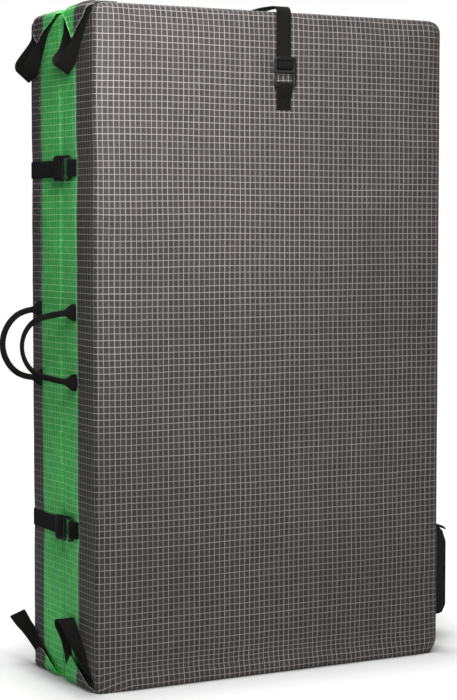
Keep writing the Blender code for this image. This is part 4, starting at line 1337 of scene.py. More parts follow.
# ======================================================================
# carry handles
# ======================================================================
def handle(side, body, y, lean, reach, shapes, twist):
    root = Vector((LEFT - 0.0010, y, 0.500))
    out = Vector((-math.cos(lean), math.sin(lean), 0))
    span = 0.052
    shape = shapes
    shape = shape + [(a, -b) for a, b in reversed(shape)]
    # the webbing leaves the seam flat along the wall, then stands off
    line = smooth_path([(a * reach, b) for a, b in shape], 6)
    path = []
    for p in line:
        q = root + out * p.x + Vector((0, 0, p.y))
        path.append(q)
    path = resample(path, 0.0035)
    n = len(path)
    fr = []
    for i in range(n):
        t = (path[min(i + 1, n - 1)] - path[max(i - 1, 0)]).normalized()
        wall = Vector((0, 0, 1))
        # across lies in the plane of the arc, at right angles to the path
        plane = out.cross(wall).normalized()
        across = t.cross(plane).normalized()
        k = math.sin(math.pi * i / (n - 1)) ** 2
        across = Matrix.Rotation(twist * k, 3, t) @ across
        fr.append((across, t.cross(across).normalized()))

    def section(i):
        t = min(i, n - 1 - i) / (n - 1) * 2
        k = min(1.0, max(0.0, (t - 0.070) / 0.130))
        k = k * k * (3 - 2 * k)
        w = WEB / 2 + (0.0046 - WEB / 2) * k
        h = 0.0010 + (0.0027 - 0.0010) * k
        ring = []
        m = 20
        for j in range(m):
            a = 2 * math.pi * (j + 0.5) / m
            c, s = math.cos(a), math.sin(a)
            x = w * math.copysign(abs(c) ** 0.7, c)
            z = h * math.copysign(abs(s) ** 0.7, s)
            # groove where the two edges of the folded webbing meet
            if k > 0.05 and s < -0.93:
                z += 0.0008 * k
            ring.append((x, z))
        return ring

    obj = sweep(f"{side}_grip", path, section, WEBBING, frames=fr)
    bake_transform(obj)
    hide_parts(f"{side}_handle")
    # stitching that closes the fold
    items = []
    for i in range(6, n - 6, 1):
        across, o = fr[i]
        t = min(i, n - 1 - i) / (n - 1) * 2
        if t > 0.32:
            items.append((path[i] - o * 0.0024 + across * 0.0012, path[i + 1] - path[i - 1], -o))
    st = stitches(f"{side}_grip_stitching", items, THREAD_DARK, 0.0024, 0.00030)
    done(st, body)


handle("front", "front_handle", SEAM_FRONT + 0.0005, math.radians(41.0), 0.0875, [
    (0.0, 0.0520), (0.22, 0.0510), (0.45, 0.0475), (0.66, 0.0430), (0.82, 0.0350), (0.93, 0.0230), (0.99, 0.0080)], math.radians(50))
handle("back", "back_handle", SEAM_BACK + 0.0005, math.radians(0.0), 0.0680, [
    (0.0, 0.0520), (0.20, 0.0520), (0.42, 0.0500), (0.64, 0.0440), (0.82, 0.0330), (0.94, 0.0190), (0.99, 0.0060)], math.radians(8))

# ======================================================================
# ladder-lock gate hooks and their straps
# ======================================================================
GATE_OUT = [(-0.0220, -0.0190), (0.0014, -0.0190), (0.0030, -0.0150), (0.0016, -0.0130), (0.0016, 0.0142), (0.0180, 0.0142), (0.0180, -0.0146),
            (0.0110, -0.0152), (0.0110, -0.0190), (0.0232, -0.0186), (0.0232, 0.0190), (-0.0220, 0.0190)]
GATE_R = [0.0062, 0.0022, 0.0012, 0.0012, 0.0016, 0.0016, 0.0008, 0.0014, 0.0018, 0.0060, 0.0062, 0.0062]


def slot_hole(u0, u1, v0, v1, r=0.0008):
    return rounded([(u0, v0), (u1, v0), (u1, v1), (u0, v1)], r, 3)


def gate_hook(name, fr, body, node):
    def bend(u, v, w):
        # the ladder end kicks outwards so a thumb can lift it
        k = max(0.0, (-u - 0.010) / 0.012)
        w += 0.0026 * k * k
        # the hook's bar and arm are a little fuller
        if u > 0.0170:
            w *= 1.08
        return u, v, w
    obj = moulded(name, rounded(GATE_OUT, GATE_R, 5),
                  [slot_hole(-0.0165, -0.0125, -0.0140, 0.0140), slot_hole(-0.0065, -0.0025, -0.0140, 0.0140)],
                  0.0020, 0.0009, fr, bend)
    done(obj, body, [node])
    # ribs that grip the webbing on the middle bar, and the thumb ridge on the first one
    ribs = []
    for k in range(9):
        v = -0.0120 + 0.0030 * k
        ribs.append(tube(f"{name}_rib{k}", [fr.at(-0.0120, v, 0.0020), fr.at(-0.0095, v, 0.0022), fr.at(-0.0070, v, 0.0020)], 0.00035, PLASTIC, sides=6))
    for k in range(3):
        u = -0.0208 + 0.0013 * k
        ribs.append(tube(f"{name}_ridge{k}", [fr.at(u, -0.0125, 0.0030 - 0.0004 * k), fr.at(u, 0.0, 0.0031 - 0.0004 * k), fr.at(u, 0.0125, 0.0030 - 0.0004 * k)],
                         0.0004, PLASTIC, sides=6))
    extra = joined(name + "_ridges", ribs)
    done(extra, body)
    return obj


THREAD = [
    (-0.0240, -0.0036), (-0.0165, -0.0036), (-0.0146, -0.0018), (-0.0146, 0.0010), (-0.0128, 0.0034),
    (-0.0062, 0.0034), (-0.0044, 0.0010), (-0.0044, -0.0014), (-0.0075, -0.0052), (-0.0120, -0.0062),
]
ROUND_BAR = [
    (0.0262, 0.0018), (0.0236, 0.0031), (0.0176, 0.0031), (0.0162, 0.0014), (0.0162, -0.0014),
    (0.0176, -0.0031), (0.0236, -0.0031), (0.0262, -0.0024),
]


def strap_line(pts2d, fr, per=4):
    line = smooth_path([(u, w, 0.0) for u, w in pts2d], per)
    return [fr.at(p.x, 0.0, p.y) for p in line]


TILT = math.radians(6)
for label, z in (("upper", 0.764), ("lower", 0.228)):
    body = label + "_strap"
    f = Frame((LEFT - 0.0092, -0.0185, z), (math.sin(TILT), -math.cos(TILT), 0), (0, 0, 1), (-math.cos(TILT), -math.sin(TILT), 0))
    # from the sewn end on the back, round the edge, to the ladder and back on itself
    corner_r = OUTER_R + 0.0010
    line = []
    for x in (LEFT + 0.090, LEFT + 0.060, LEFT + 0.034):
        p = on_back(x, z, 0.0009)
        line.append(p)
    for k in range(0, 7):
        a = math.pi / 2 * (1 + k / 6)
        c = Vector((LEFT + OUTER_R, BACK - OUTER_R, z))
        d = Vector((math.cos(a), math.sin(a), 0))
        p, _ = hit("back", c + d * 0.06, -d)
        line.append(p + d * 0.0010)
    for y in (0.085, 0.060, 0.040, 0.020):
        p = on_left("back", y, z, 0.0010)
        line.append(Vector((p.x - 0.0020 * (0.085 - y) / 0.065, y, z)))
    line = smooth_path(line, 4)
    thread = strap_line(THREAD, f)
    tail = [f.local((on_left("back", y, z).x - 0.0010, y, z)) for y in (0.0180, 0.0300, 0.0420)]
    thread_all = strap_line(THREAD + tail, f)
    pts = resample(line + thread_all[1:], 0.0018)
    obj = band(label + "_closure_strap", pts, Vector((0, 0, 1)), 0.0014)
    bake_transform(obj)
    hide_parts(label + "_strap", label + "_strap_base")
    gate_hook(label + "_gate_hook", f, body, label + "_strap_buckle")
    # the short strap that holds the hook's bar, sewn into the front seam
    sewn = on_left("front", -0.0520, z).x
    ends = [f.local((sewn - w, -0.0535, z)) for w in (0.0026, 0.0008)]
    pts = resample(strap_line([ends[0]] + ROUND_BAR + [ends[1]], f), 0.0015)
    obj = band(label + "_hook_tab", pts, Vector((0, 0, 1)), 0.0013)
    done(obj, "front_half", [label + "_strap_anchor"])
    rows = []
    for dy in (-0.0475, -0.0505):
        a = Vector((sewn - 0.0036, dy, z - 0.0108))
        rows += stitch_row([a, a + Vector((0, 0, 0.0216))], Vector((-1, 0, 0)), 0.0027)
    st = stitches(label + "_tab_stitching", rows, THREAD_DARK, 0.0020, 0.00028)
    done(st, "front_half")
    # box and cross on the sewn end at the back
    x0, x1, z0, z1 = LEFT + 0.062, LEFT + 0.086, z - 0.0100, z + 0.0100

    def at_back(x, zz):
        return on_back(x, zz, 0.0020)
    rows = []
    for a, b in (((x0, z0), (x1, z0)), ((x1, z0), (x1, z1)), ((x1, z1), (x0, z1)), ((x0, z1), (x0, z0)), ((x0, z0), (x1, z1)), ((x0, z1), (x1, z0))):
        rows += stitch_row([at_back(*a), at_back(*b)], Vector((0, 1, 0)), 0.0028)
    st = stitches(label + "_base_stitching", rows, THREAD_DARK, 0.0021, 0.00028)
    done(st, "back_half")

# ---- top strap ------------------------------------------------------------------
TOP_X = 0.012
top = Frame((TOP_X, FRONT - 0.0096, 0.9100), (0, 0, -1), (1, 0, 0), (0, -1, 0))
fy = on_front(TOP_X, 0.94).y
tail = [top.local((TOP_X, fy - 0.0010, zz)) for zz in (0.9300, 0.9380, 0.9440)]
thread_all = strap_line(THREAD + tail, top)
over = [Vector((TOP_X, 0.0310, 1.0062)), Vector((TOP_X, 0.0395, 1.0044)), Vector((TOP_X, 0.0448, 1.0042)), Vector((TOP_X, 0.0464, 1.0066)), Vector((TOP_X, 0.0448, 1.0092)),
        Vector((TOP_X, 0.0395, 1.0096)), Vector((TOP_X, 0.0300, 1.0096))]
for y, lift in ((0.0100, 0.0070), (-0.0150, 0.0072), (-0.0450, 0.0080), (FRONT + 0.0460, 0.0088), (FRONT + 0.0240, 0.0086)):
    over.append(on_top("back" if y > 0.001 else "front", TOP_X, y, lift))
c = Vector((TOP_X, FRONT + 0.008, HEIGHT - 0.008))
for deg, lift in ((72, 0.0082), (45, 0.0066), (18, 0.0044)):
    d = Vector((0, -math.cos(math.radians(deg)), math.sin(math.radians(deg))))
    over.append(hit("front", c + d * 0.06, -d)[0] + d * lift)
for z, lift in ((0.9770, 0.0032), (0.9600, 0.0024), (0.9450, 0.0026)):
    over.append(on_front(TOP_X, z, lift))
pts = resample(smooth_path(over, 5) + thread_all[1:], 0.0018)
obj = band("top_closure_strap", pts, Vector((1, 0, 0)), 0.0014)
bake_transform(obj)
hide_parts("top_strap_front", "top_strap_over")
gate_hook("top_gate_hook", top, "front_half", "top_strap_buckle")
# the short strap below, sewn to the face
pts2 = [top.local((TOP_X, fy - 0.0030, 0.8525)), top.local((TOP_X, fy - 0.0026, 0.8700))]
pts3 = [top.local((TOP_X, fy - 0.0012, 0.8700)), top.local((TOP_X, fy - 0.0010, 0.8525))]
pts = resample(strap_line(pts2 + ROUND_BAR + pts3, top), 0.0015)
obj = band("top_hook_tab", pts, Vector((1, 0, 0)), 0.0013)
done(obj, "front_half", ["top_strap_anchor"])
x0, x1, z0, z1 = TOP_X - 0.0102, TOP_X + 0.0102, 0.8545, 0.8760
rows = []
for a, b in (((x0, z0), (x1, z0)), ((x1, z0), (x1, z1)), ((x1, z1), (x0, z1)), ((x0, z1), (x0, z0)), ((x0, z0), (x1, z1)), ((x0, z1), (x1, z0))):
    pa, pb = Vector((a[0], fy - 0.0039, a[1])), Vector((b[0], fy - 0.0039, b[1]))
    rows += stitch_row([pa, pb], Vector((0, -1, 0)), 0.0028)
st = stitches("top_tab_stitching", rows, THREAD_DARK, 0.0021, 0.00028)
done(st, "front_half")
# hook on the back half that the over-strap loops through
hook = Frame((TOP_X, 0.0395, 1.0066), (0, 1, 0), (-1, 0, 0), (0, 0, 1))
HOOK_OUT = [(0.0, -0.0180), (0.0130, -0.0180), (0.0130, 0.0135), (0.0185, 0.0135), (0.0185, -0.0145), (0.0160, -0.0180), (0.0235, -0.0180), (0.0235, 0.0180), (0.0, 0.0180)]
obj = moulded("top_rear_hook", rounded(HOOK_OUT, [0.003, 0.001, 0.001, 0.001, 0.001, 0.001, 0.003, 0.004, 0.004], 4),
              [slot_hole(0.0048, 0.0085, -0.0135, 0.0135)], 0.0018, 0.0008, hook)
done(obj, "top_strap", ["top_strap_hook"])
loop_pts = [Vector((TOP_X, y, zz)) for y, zz in (
    (0.0920, 1.0040), (0.0800, 1.0052), (0.0690, 1.0076), (0.0632, 1.0096), (0.0574, 1.0096), (0.0558, 1.0080), (0.0558, 1.0052),
    (0.0574, 1.0037), (0.0632, 1.0036), (0.0690, 1.0031), (0.0800, 1.0026), (0.0920, 1.0022))]
obj = band("top_rear_tab", resample(smooth_path(loop_pts, 4), 0.0016), Vector((1, 0, 0)), 0.0013)
done(obj, "back_half", ["top_back_anchor"])

# ======================================================================
# hinge, zips
# ======================================================================
zs = [0.022 + 0.956 * k / 120 for k in range(121)]
rows_y = [-0.030, -0.026, -0.020, -0.014, -0.009, -0.005, -0.002, 0.0, 0.002, 0.005, 0.009, 0.014, 0.020, 0.026, 0.030]
verts, faces, uvs = [], [], []
for i, z in enumerate(zs):
    run = 0.0
    last = None
    for j, y in enumerate(rows_y):
        side = "front" if y < 0 else "back"
        yy = max(abs(y), 0.009)
        p = on_right(side, math.copysign(yy, y) if y else 0.009, z, 0.0006)
        bulge = 0.0016 * math.exp(-(y / 0.006) ** 2)
        q = Vector((max(p.x, RIGHT + 0.0002) + bulge + 0.0002 * noise.noise(Vector((z * 30, y * 60, 4.0))), y, z))
        if last is not None:
            run += (q - last).length
        last = q
        verts.append(q)
        uvs.append((run, z))
m = len(rows_y)
for i in range(len(zs) - 1):
    for j in range(m - 1):
        faces.append((i * m + j, i * m + j + 1, (i + 1) * m + j + 1, (i + 1) * m + j))
obj = build("hinge_fabric", verts, faces, GREEN, uvs)
mean = sum((p.normal for p in obj.data.polygons), Vector())
if mean.x < 0:
    obj.data.flip_normals()
sol = obj.modifiers.new("cloth", "SOLIDIFY")
sol.thickness, sol.offset = 0.0010, 1.0
applied(obj)
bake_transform(obj)
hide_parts("front_hinge_fabric", "back_hinge_fabric")
for side, body, y in (("front", "front_half", -0.027), ("back", "back_half", 0.027)):
    rows = []
    for dy in (0.0, 0.0024 if y < 0 else -0.0024):
        line = [on_right(side, y + dy, z, 0.0018) for z in [0.024 + 0.952 * k / 60 for k in range(61)]]
        rows += stitch_row(line, Vector((1, 0, 0)), 0.0052)
    st = stitches(side + "_hinge_stitching", rows, THREAD_GREY, 0.0036, 0.00030)
    done(st, body)

for side, body, y in (("front", "front_half", -0.070), ("back", "back_half", 0.088)):
    line = [on_right(side, y, z, 0.0006) for z in [0.050 + 0.900 * k / 100 for k in range(101)]]
    tape = band(side + "_zip_tape", line, Vector((0, 1, 0)), 0.0009, WEBBING, width=0.020)
    teeth = []
    for k, p in enumerate(resample(line, 0.0030)):
        s = 1 if k % 2 else -1
        a = p + Vector((0.0010, -0.0021 * s, -0.0004))
        b = p + Vector((0.0016, 0.0002 * s, 0.0))
        c = p + Vector((0.0010, 0.0021 * s, 0.0004))
        teeth.append((a, b, c))
    verts, faces, uvs = [], [], []
    for a, b, c in teeth:
        base = len(verts)
        for q in (a, b, c):
            for dz, dx in ((-0.0009, -0.0004), (0.0009, -0.0004), (0.0007, 0.0006), (-0.0007, 0.0006)):
                verts.append(q + Vector((dx, 0, dz)))
                uvs.append((q.y, q.z))
        for r in (0, 4):
            for k in range(4):
                faces.append((base + r + k, base + r + (k + 1) % 4, base + r + 4 + (k + 1) % 4, base + r + 4 + k))
        faces.append((base + 3, base + 2, base + 1, base))
        faces.append((base + 8, base + 9, base + 10, base + 11))
    coil = build(side + "_zip_teeth", verts, faces, ZIP_COIL, uvs, smooth=False)
    zipped = joined(side + "_zip_run", [tape, coil])
    done(zipped, body, [side + "_zip"])
    rows = []
    for dy in (-0.0078, 0.0078):
        rows += stitch_row([p + Vector((0.0008, dy, 0)) for p in line], Vector((1, 0, 0)), 0.0050)
    st = stitches(side + "_zip_stitching", rows, THREAD_DARK, 0.0034, 0.00026)
    done(st, body)
    # slider body with its pull
    sx = line[1].x + 0.0022
    fr = Frame((sx + 0.0006, y, 0.0610), (0, 0, 1), (0, 1, 0), (1, 0, 0))
    body_out = [(-0.0070, -0.0026), (0.0010, -0.0045), (0.0070, -0.0045), (0.0070, -0.0016), (0.0056, 0.0), (0.0070, 0.0016), (0.0070, 0.0045), (0.0010, 0.0045), (-0.0070, 0.0026)]
    slider = moulded(side + "_slider_body", rounded(body_out, 0.0010, 3), [], 0.0011, 0.0005, fr, mat=METAL)
    fr2 = Frame((sx + 0.0018, y, 0.0570), (0, 0, -1), (0, 1, 0), (1, 0, 0.0))
    bridge = tube(side + "_slider_bridge", [fr.at(-0.0050, 0, 0.0008), fr.at(-0.0035, 0, 0.0019), fr.at(0.0020, 0, 0.0019), fr.at(0.0040, 0, 0.0008)], 0.0007, METAL)
    pull = moulded(side + "_slider_pull", rounded([(-0.0030, -0.0028), (0.0130, -0.0038), (0.0175, -0.0030), (0.0175, 0.0030), (0.0130, 0.0038), (-0.0030, 0.0028)], 0.0016, 4),
                   [slot_hole(-0.0012, 0.0030, -0.0014, 0.0014, 0.0006), slot_hole(0.0120, 0.0150, -0.0016, 0.0016, 0.0006)], 0.0006, 0.0003, fr2, mat=METAL)
    obj = joined(side + "_zip_puller", [slider, bridge, pull])
    done(obj, side + "_zip_slider", [side + "_zip_slider"])

# ======================================================================
# seam stitching on the covers
# ======================================================================
for side, body, seam, s in (("front", "front_half", SEAM_FRONT, 1), ("back", "back_half", SEAM_BACK, -1)):
    rows_l, rows_r = [], []
    for dy in (-0.0040 * s,):
        zz = [0.060 + 0.880 * k / 80 for k in range(81)]
        rows_l += stitch_row([on_left(side, seam + dy, z, 0.0001) for z in zz], Vector((-1, 0, 0)), 0.0058)
        rows_r += stitch_row([on_right(side, seam + dy, z, 0.0001) for z in zz], Vector((1, 0, 0)), 0.0058)
        xx = [-0.262 + 0.524 * k / 50 for k in range(51)]
        rows_r += stitch_row([on_top(side, x, seam + dy, 0.0001) for x in xx], Vector((0, 0, 1)), 0.0058)
    st = stitches(side + "_seam_stitching", rows_l + rows_r, THREAD_GREY, 0.0038, 0.00028)
    done(st, body)

# a narrow binding where the landing cloth meets the side wall
for side, body, y in (("back", "back_half", 0.0046), ("front", "front_half", -0.0046)):
    line = [on_left(side, y, 0.020 + 0.964 * k / 120, 0.0002) for k in range(121)]
    edge_line = tube(side + "_edge_binding", line, 0.00050, EDGE_GREEN, sides=6)
    done(edge_line, body)

# ======================================================================
# carrying harness on the back
# ======================================================================


def patch(name, outline, body, node, thick=0.0014, mat=WEBBING, step=0.008, lift=0.0004):
    """Reinforcement cloth that follows the back face."""
    bm = bmesh.new()
    dense = []
    for i in range(len(outline)):
        a, b = Vector(outline[i]), Vector(outline[(i + 1) % len(outline)])
        n = max(1, round((b - a).length / step))
        dense += [a.lerp(b, k / n) for k in range(n)]
    face = bm.faces.new([bm.verts.new((p.x, p.y, 0.0)) for p in dense])
    bm.normal_update()
    bmesh.ops.triangulate(bm, faces=[face])
    for axis in (0, 1):
        lo = min(p[axis] for p in dense)
        hi = max(p[axis] for p in dense)
        for k in range(1, int((hi - lo) / step)):
            no = (1, 0, 0) if axis == 0 else (0, 1, 0)
            c = (lo + k * step, 0, 0) if axis == 0 else (0, lo + k * step, 0)
            bmesh.ops.bisect_plane(bm, geom=bm.verts[:] + bm.edges[:] + bm.faces[:], plane_co=c, plane_no=no)
    bmesh.ops.remove_doubles(bm, verts=bm.verts, dist=1e-5)
    bm.verts.index_update()
    verts = [on_back(v.co.x, v.co.y, lift) for v in bm.verts]
    uvs = [(v.co.x, v.co.y) for v in bm.verts]
    faces = [[v.index for v in f.verts] for f in bm.faces]
    bm.free()
    obj = build(name, verts, faces, mat, uvs)
    if sum((p.normal for p in obj.data.polygons), Vector()).y < 0:
        obj.data.flip_normals()
    sol = obj.modifiers.new("cloth", "SOLIDIFY")
    sol.thickness, sol.offset = thick, 1.0
    applied(obj)
    done(obj, body, [node])
    return obj


YOKE = webbing("yoke_cloth", (0.011, 0.011, 0.012), (0.020, 0.020, 0.022), 0.0016, 0.75, 0.012)
patch("yoke_panel", rounded([(-0.165, 0.790), (0.165, 0.790), (0.165, 0.870), (-0.165, 0.870)], 0.012, 4), "back_half", "yoke_patch", mat=YOKE)
rows = []
for inset in (0.004, 0.008):
    ring = rounded([(-0.165 + inset, 0.790 + inset), (0.165 - inset, 0.790 + inset), (0.165 - inset, 0.870 - inset), (-0.165 + inset, 0.870 - inset)], 0.010, 4)
    ring = ring + ring[:1]
    rows += stitch_row([on_back(p[0], p[1], 0.0019) for p in resample([Vector((q[0], q[1], 0)) for q in ring], 0.012)], Vector((0, 1, 0)), 0.0046)
st = stitches("yoke_stitching", rows, THREAD_DARK, 0.0032, 0.00030)
done(st, "back_half")


def pillow(name, place, ns, nt, thick, rim, mats, body, node, size, cap, channels=(), pressure=4.0):
    """Padded piece over a grid: place(s, t) gives the middle surface and its normal. size is (length, width) in metres."""
    def height(s, t):
        e = min(1.0, 1.0 - (2 * t - 1) ** 4) * (1.0 - (2 * s - 1) ** 12)
        return rim + (thick - rim) * max(0.0, e) ** 0.5

    S = [0.5 - 0.5 * math.cos(math.pi * k / ns) * 0 + 0.0 for k in range(ns + 1)]
    S = [k / ns for k in range(ns + 1)]
    T = [0.5 - 0.5 * math.cos(math.pi * (0.08 + 0.84 * k / nt)) for k in range(nt + 1)]
    T = [(t - T[0]) / (T[-1] - T[0]) for t in T]
    verts, uvs, faces, idx = [], [], [], []
    for sign in (1, -1):
        for s in S:
            for t in T:
                p, n = place(s, t)
                h = height(s, t) / 2 * 0.86
                verts.append(Vector(p) + Vector(n) * sign * h)
                uvs.append((s * size[0], t * size[1]))
    w = len(T)
    base = len(S) * w
    for i in range(len(S) - 1):
        for j in range(w - 1):
            a = i * w + j
            faces.append((a, a + 1, a + w + 1, a + w))
            idx.append(0)
            faces.append((base + a, base + a + w, base + a + w + 1, base + a + 1))
            idx.append(1 if len(mats) > 1 else 0)
    rim_loop = [j for j in range(w)] + [i * w + w - 1 for i in range(1, len(S))] + [(len(S) - 1) * w + j for j in range(w - 2, -1, -1)] + [i * w for i in range(len(S) - 2, 0, -1)]
    for a, b in zip(rim_loop, rim_loop[1:] + rim_loop[:1]):
        faces.append((b, a, base + a, base + b))
        idx.append(0)
    co = np.array([tuple(v) for v in verts])
    caps = np.array([cap * (min(1.0, 5 * min(t, 1 - t)) * min(1.0, 10 * min(s, 1 - s)) + 0.06) for _ in (0, 1) for s in S for t in T])
    co = inflate(name, co, faces, pressure, caps, slack=0.004, stiff=20.0)
    # sewn channels
    for kind, at, depth, width in channels:
        for sgn in (0, 1):
            for i, s in enumerate(S):
                for j, t in enumerate(T):
                    x = (s if kind == "s" else t) - at
                    d = depth * math.exp(-(x * (size[0] if kind == "s" else size[1]) / width) ** 2)
                    if d > 1e-5:
                        p, n = place(s, t)
                        k = sgn * base + i * w + j
                        co[k] -= np.array(n) * (1 if sgn == 0 else -1) * d
    obj = build(name, [Vector(c) for c in co], faces, mats, uvs, idx)
    bm = bmesh.new()
    bm.from_mesh(obj.data)
    bmesh.ops.recalc_face_normals(bm, faces=bm.faces)
    bm.to_mesh(obj.data)
    bm.free()
    sub = obj.modifiers.new("smooth", "SUBSURF")
    sub.levels = sub.render_levels = 1
    applied(obj)
    obj.data.shade_smooth()
    done(obj, body, [node])
    edge = []
    for k in rim_loop:
        i, j = divmod(k, w)
        edge.append(place(S[i], T[j]))
    return obj, edge


def binding(name, edge, body, width=0.0090, thick=0.0026, mat=WEBBING):
    """Narrow tape folded over the edge of a padded piece."""
    pts = [Vector(p) for p, _ in edge]
    nrm = [Vector(n) for _, n in edge]
    keep = [0]
    for i in range(1, len(pts)):
        if (pts[i] - pts[keep[-1]]).length > 0.0035:
            keep.append(i)
    pts, nrm = [pts[i] for i in keep], [nrm[i] for i in keep]
    n = len(pts)
    centre = sum(pts, Vector()) / n
    fr = []
    for i in range(n):
        t = (pts[(i + 1) % n] - pts[i - 1]).normalized()
        out = t.cross(nrm[i]).normalized()
        if out.dot(pts[i] - centre) < 0:
            out = -out
        fr.append((out, nrm[i].normalized()))
    ring = []
    for a in range(12):
        ang = 2 * math.pi * a / 12
        c, s = math.cos(ang), math.sin(ang)
        ring.append((-width * 0.36 + width / 2 * math.copysign(abs(c) ** 0.6, c), thick / 2 * math.copysign(abs(s) ** 0.5, s) * (1.0 + 0.25 * (c < 0))))
    obj = sweep(name, pts, lambda i: ring, mat, closed=True, frames=fr)
    done(obj, body)
    items = []
    for i in range(n):
        a, b = pts[i], pts[(i + 1) % n]
        out, nn = fr[i]
        for s in (1, -1):
            items.append(((a + b) / 2 - out * width * 0.66 + nn * s * (thick / 2 * 1.2), b - a, nn * s))
    st = stitches(name + "_stitching", items, THREAD_DARK, 0.0024, 0.00026)
    done(st, body)
    return obj


HX = 0.110
for side, sgn in (("left", -1), ("right", 1)):
    x0 = sgn * HX
    body = side + "_shoulder"
    line = smooth_path([
        (BACK + 0.0165, 0.8280), (BACK + 0.0290, 0.8050), (BACK + 0.0490, 0.7500), (BACK + 0.0600, 0.6600),
        (BACK + 0.0560, 0.5600), (BACK + 0.0440, 0.4700)], 12)
    line = resample([Vector((0, p.x, p.y)) for p in line], 0.0075)
    total = len(line) - 1

    def place(s, t, line=line, total=total, x0=x0, sgn=sgn):
        k = min(total - 1e-6, max(0.0, s * total))
        i = int(k)
        p = line[i].lerp(line[i + 1], k - i)
        d = (line[i + 1] - line[i]).normalized()
        nrm = Vector((0, d.z, -d.y))
        if nrm.y < 0:
            nrm = -nrm
        # the pad narrows towards its lower end and waists a little
        w = 0.0300 - 0.0060 * s ** 2 - 0.0020 * math.sin(math.pi * s)
        end = min(1.0, (min(s, 1 - s) * 0.40 / 0.022) ** 0.5) if min(s, 1 - s) < 0.055 else 1.0
        bow = 0.0035 * sgn * math.sin(math.pi * s)
        x = (t - 0.5) * 2 * w * (0.72 + 0.28 * end)
        cup = -0.0030 * (2 * t - 1) ** 2
        return Vector((x0 + bow + x, p.y, p.z)) + nrm * cup, nrm

    obj, edge = pillow(side + "_shoulder_cushion", place, total, 10, 0.0120, 0.0026, [PADDING, MESH], body,
                       side + "_shoulder_pad", (0.40, 0.060), 0.0022)
    binding(side + "_shoulder_binding", edge, body)
    # webbing sewn down the middle of the outer face
    mid = []
    for k in range(0, 41):
        p, n = place(0.02 + 0.96 * k / 40, 0.5)
        mid.append(p + n * 0.0066)
    tape = band(side + "_shoulder_tape", resample(mid, 0.004), Vector((1, 0, 0)), 0.0014, width=0.0200)
    done(tape, body)
    rows = []
    for dx in (-0.0075, 0.0075):
        rows += stitch_row([p + Vector((dx, 0.0009, 0)) for p in mid], Vector((0, 1, 0)), 0.0048)
    st = stitches(side + "_shoulder_stitching", rows, THREAD_DARK, 0.0034, 0.00028)
    done(st, body)
    # ladder lock and lower webbing
    low = Frame((x0, BACK + 0.0400, 0.4460), (0, -0.1, -0.995), (1, 0, 0), (0, 0.995, -0.1))
    outline = rounded([(-0.0190, -0.0165), (0.0060, -0.0175), (0.0060, 0.0175), (-0.0190, 0.0165)], 0.0040, 5)
    lock = moulded(side + "_ladder_lock", outline, [slot_hole(-0.0140, -0.0100, -0.0138, 0.0138), slot_hole(-0.0040, 0.0, -0.0138, 0.0138)], 0.0020, 0.0009, low,
                   lambda u, v, w: (u, v, w + 0.0022 * max(0.0, (u - 0.001) / 0.005) ** 2))
    done(lock, body, [side + "_shoulder_buckle"])
    route = [low.local((x0, on_back(x0, 0.200).y + 0.0040, 0.2120)), low.local((x0, BACK + 0.0100, 0.2600)), low.local((x0, BACK + 0.0190, 0.3200)), low.local((x0, BACK + 0.0280, 0.3900)),
             (0.0120, -0.0036), (0.0000, -0.0036), (-0.0019, -0.0018), (-0.0019, 0.0010), (-0.0037, 0.0034),
             (-0.0103, 0.0034), (-0.0121, 0.0010), (-0.0121, -0.0018), (-0.0098, -0.0048), (-0.0060, -0.0064),
             (0.0010, -0.0072), (0.0300, -0.0080), (0.0700, -0.0130)]
    pts = resample(strap_line(route, low), 0.0020)
    web = band(side + "_lower_strap_web", pts, Vector((1, 0, 0)), 0.0014)
    done(web, body, [side + "_lower_web"])
    # the pad's short loop round the lock's first bar
    loop2 = [(-0.0300, 0.0010), (-0.0220, 0.0030), (-0.0170, 0.0034), (-0.0134, 0.0020), (-0.0134, -0.0018), (-0.0170, -0.0032), (-0.0220, -0.0030), (-0.0300, -0.0010)]
    tab = band(side + "_lock_tab", resample(strap_line(loop2, low), 0.0015), Vector((1, 0, 0)), 0.0012)
    done(tab, body)
    patch(side + "_anchor_patch", rounded([(x0 - 0.028, 0.1700), (x0 + 0.028, 0.1700), (x0 + 0.015, 0.2080), (x0 - 0.015, 0.2080)], 0.004, 3),
          "back_half", side + "_web_anchor", mat=YOKE, step=0.006)
    # short fixed length of webbing from the patch up to the moving strap
    fix = [on_back(x0, z, 0.0026) for z in (0.1760, 0.1850, 0.1950)] + [on_back(x0, 0.204, 0.0032)]
    fixed = band(side + "_anchor_webbing", resample(smooth_path(fix, 4), 0.003), Vector((1, 0, 0)), 0.0014)
    done(fixed, "back_half")
    rows = []
    xa, xb, za, zb = x0 - 0.0095, x0 + 0.0095, 0.1785, 0.1960
    for a, b in (((xa, za), (xb, za)), ((xb, za), (xb, zb)), ((xb, zb), (xa, zb)), ((xa, zb), (xa, za)), ((xa, za), (xb, zb)), ((xa, zb), (xb, za))):
        rows += stitch_row([on_back(a[0], a[1], 0.0036), on_back(b[0], b[1], 0.0036)], Vector((0, 1, 0)), 0.0028)
    st = stitches(side + "_anchor_stitching", rows, THREAD_DARK, 0.0021, 0.00028)
    done(st, "back_half")
    # haul loop webbing at the top of each pad, from the yoke to the pad
    topline = [on_back(x0, 0.846, 0.0028), on_back(x0, 0.836, 0.0034), Vector((x0, BACK + 0.0100, 0.8290)), Vector((x0, BACK + 0.0165, 0.8240))]
    lead = band(side + "_yoke_webbing", resample(smooth_path(topline, 5), 0.003), Vector((1, 0, 0)), 0.0016)
    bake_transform(lead)

# lumbar pad
Z0, Z1 = 0.0080, 0.1540


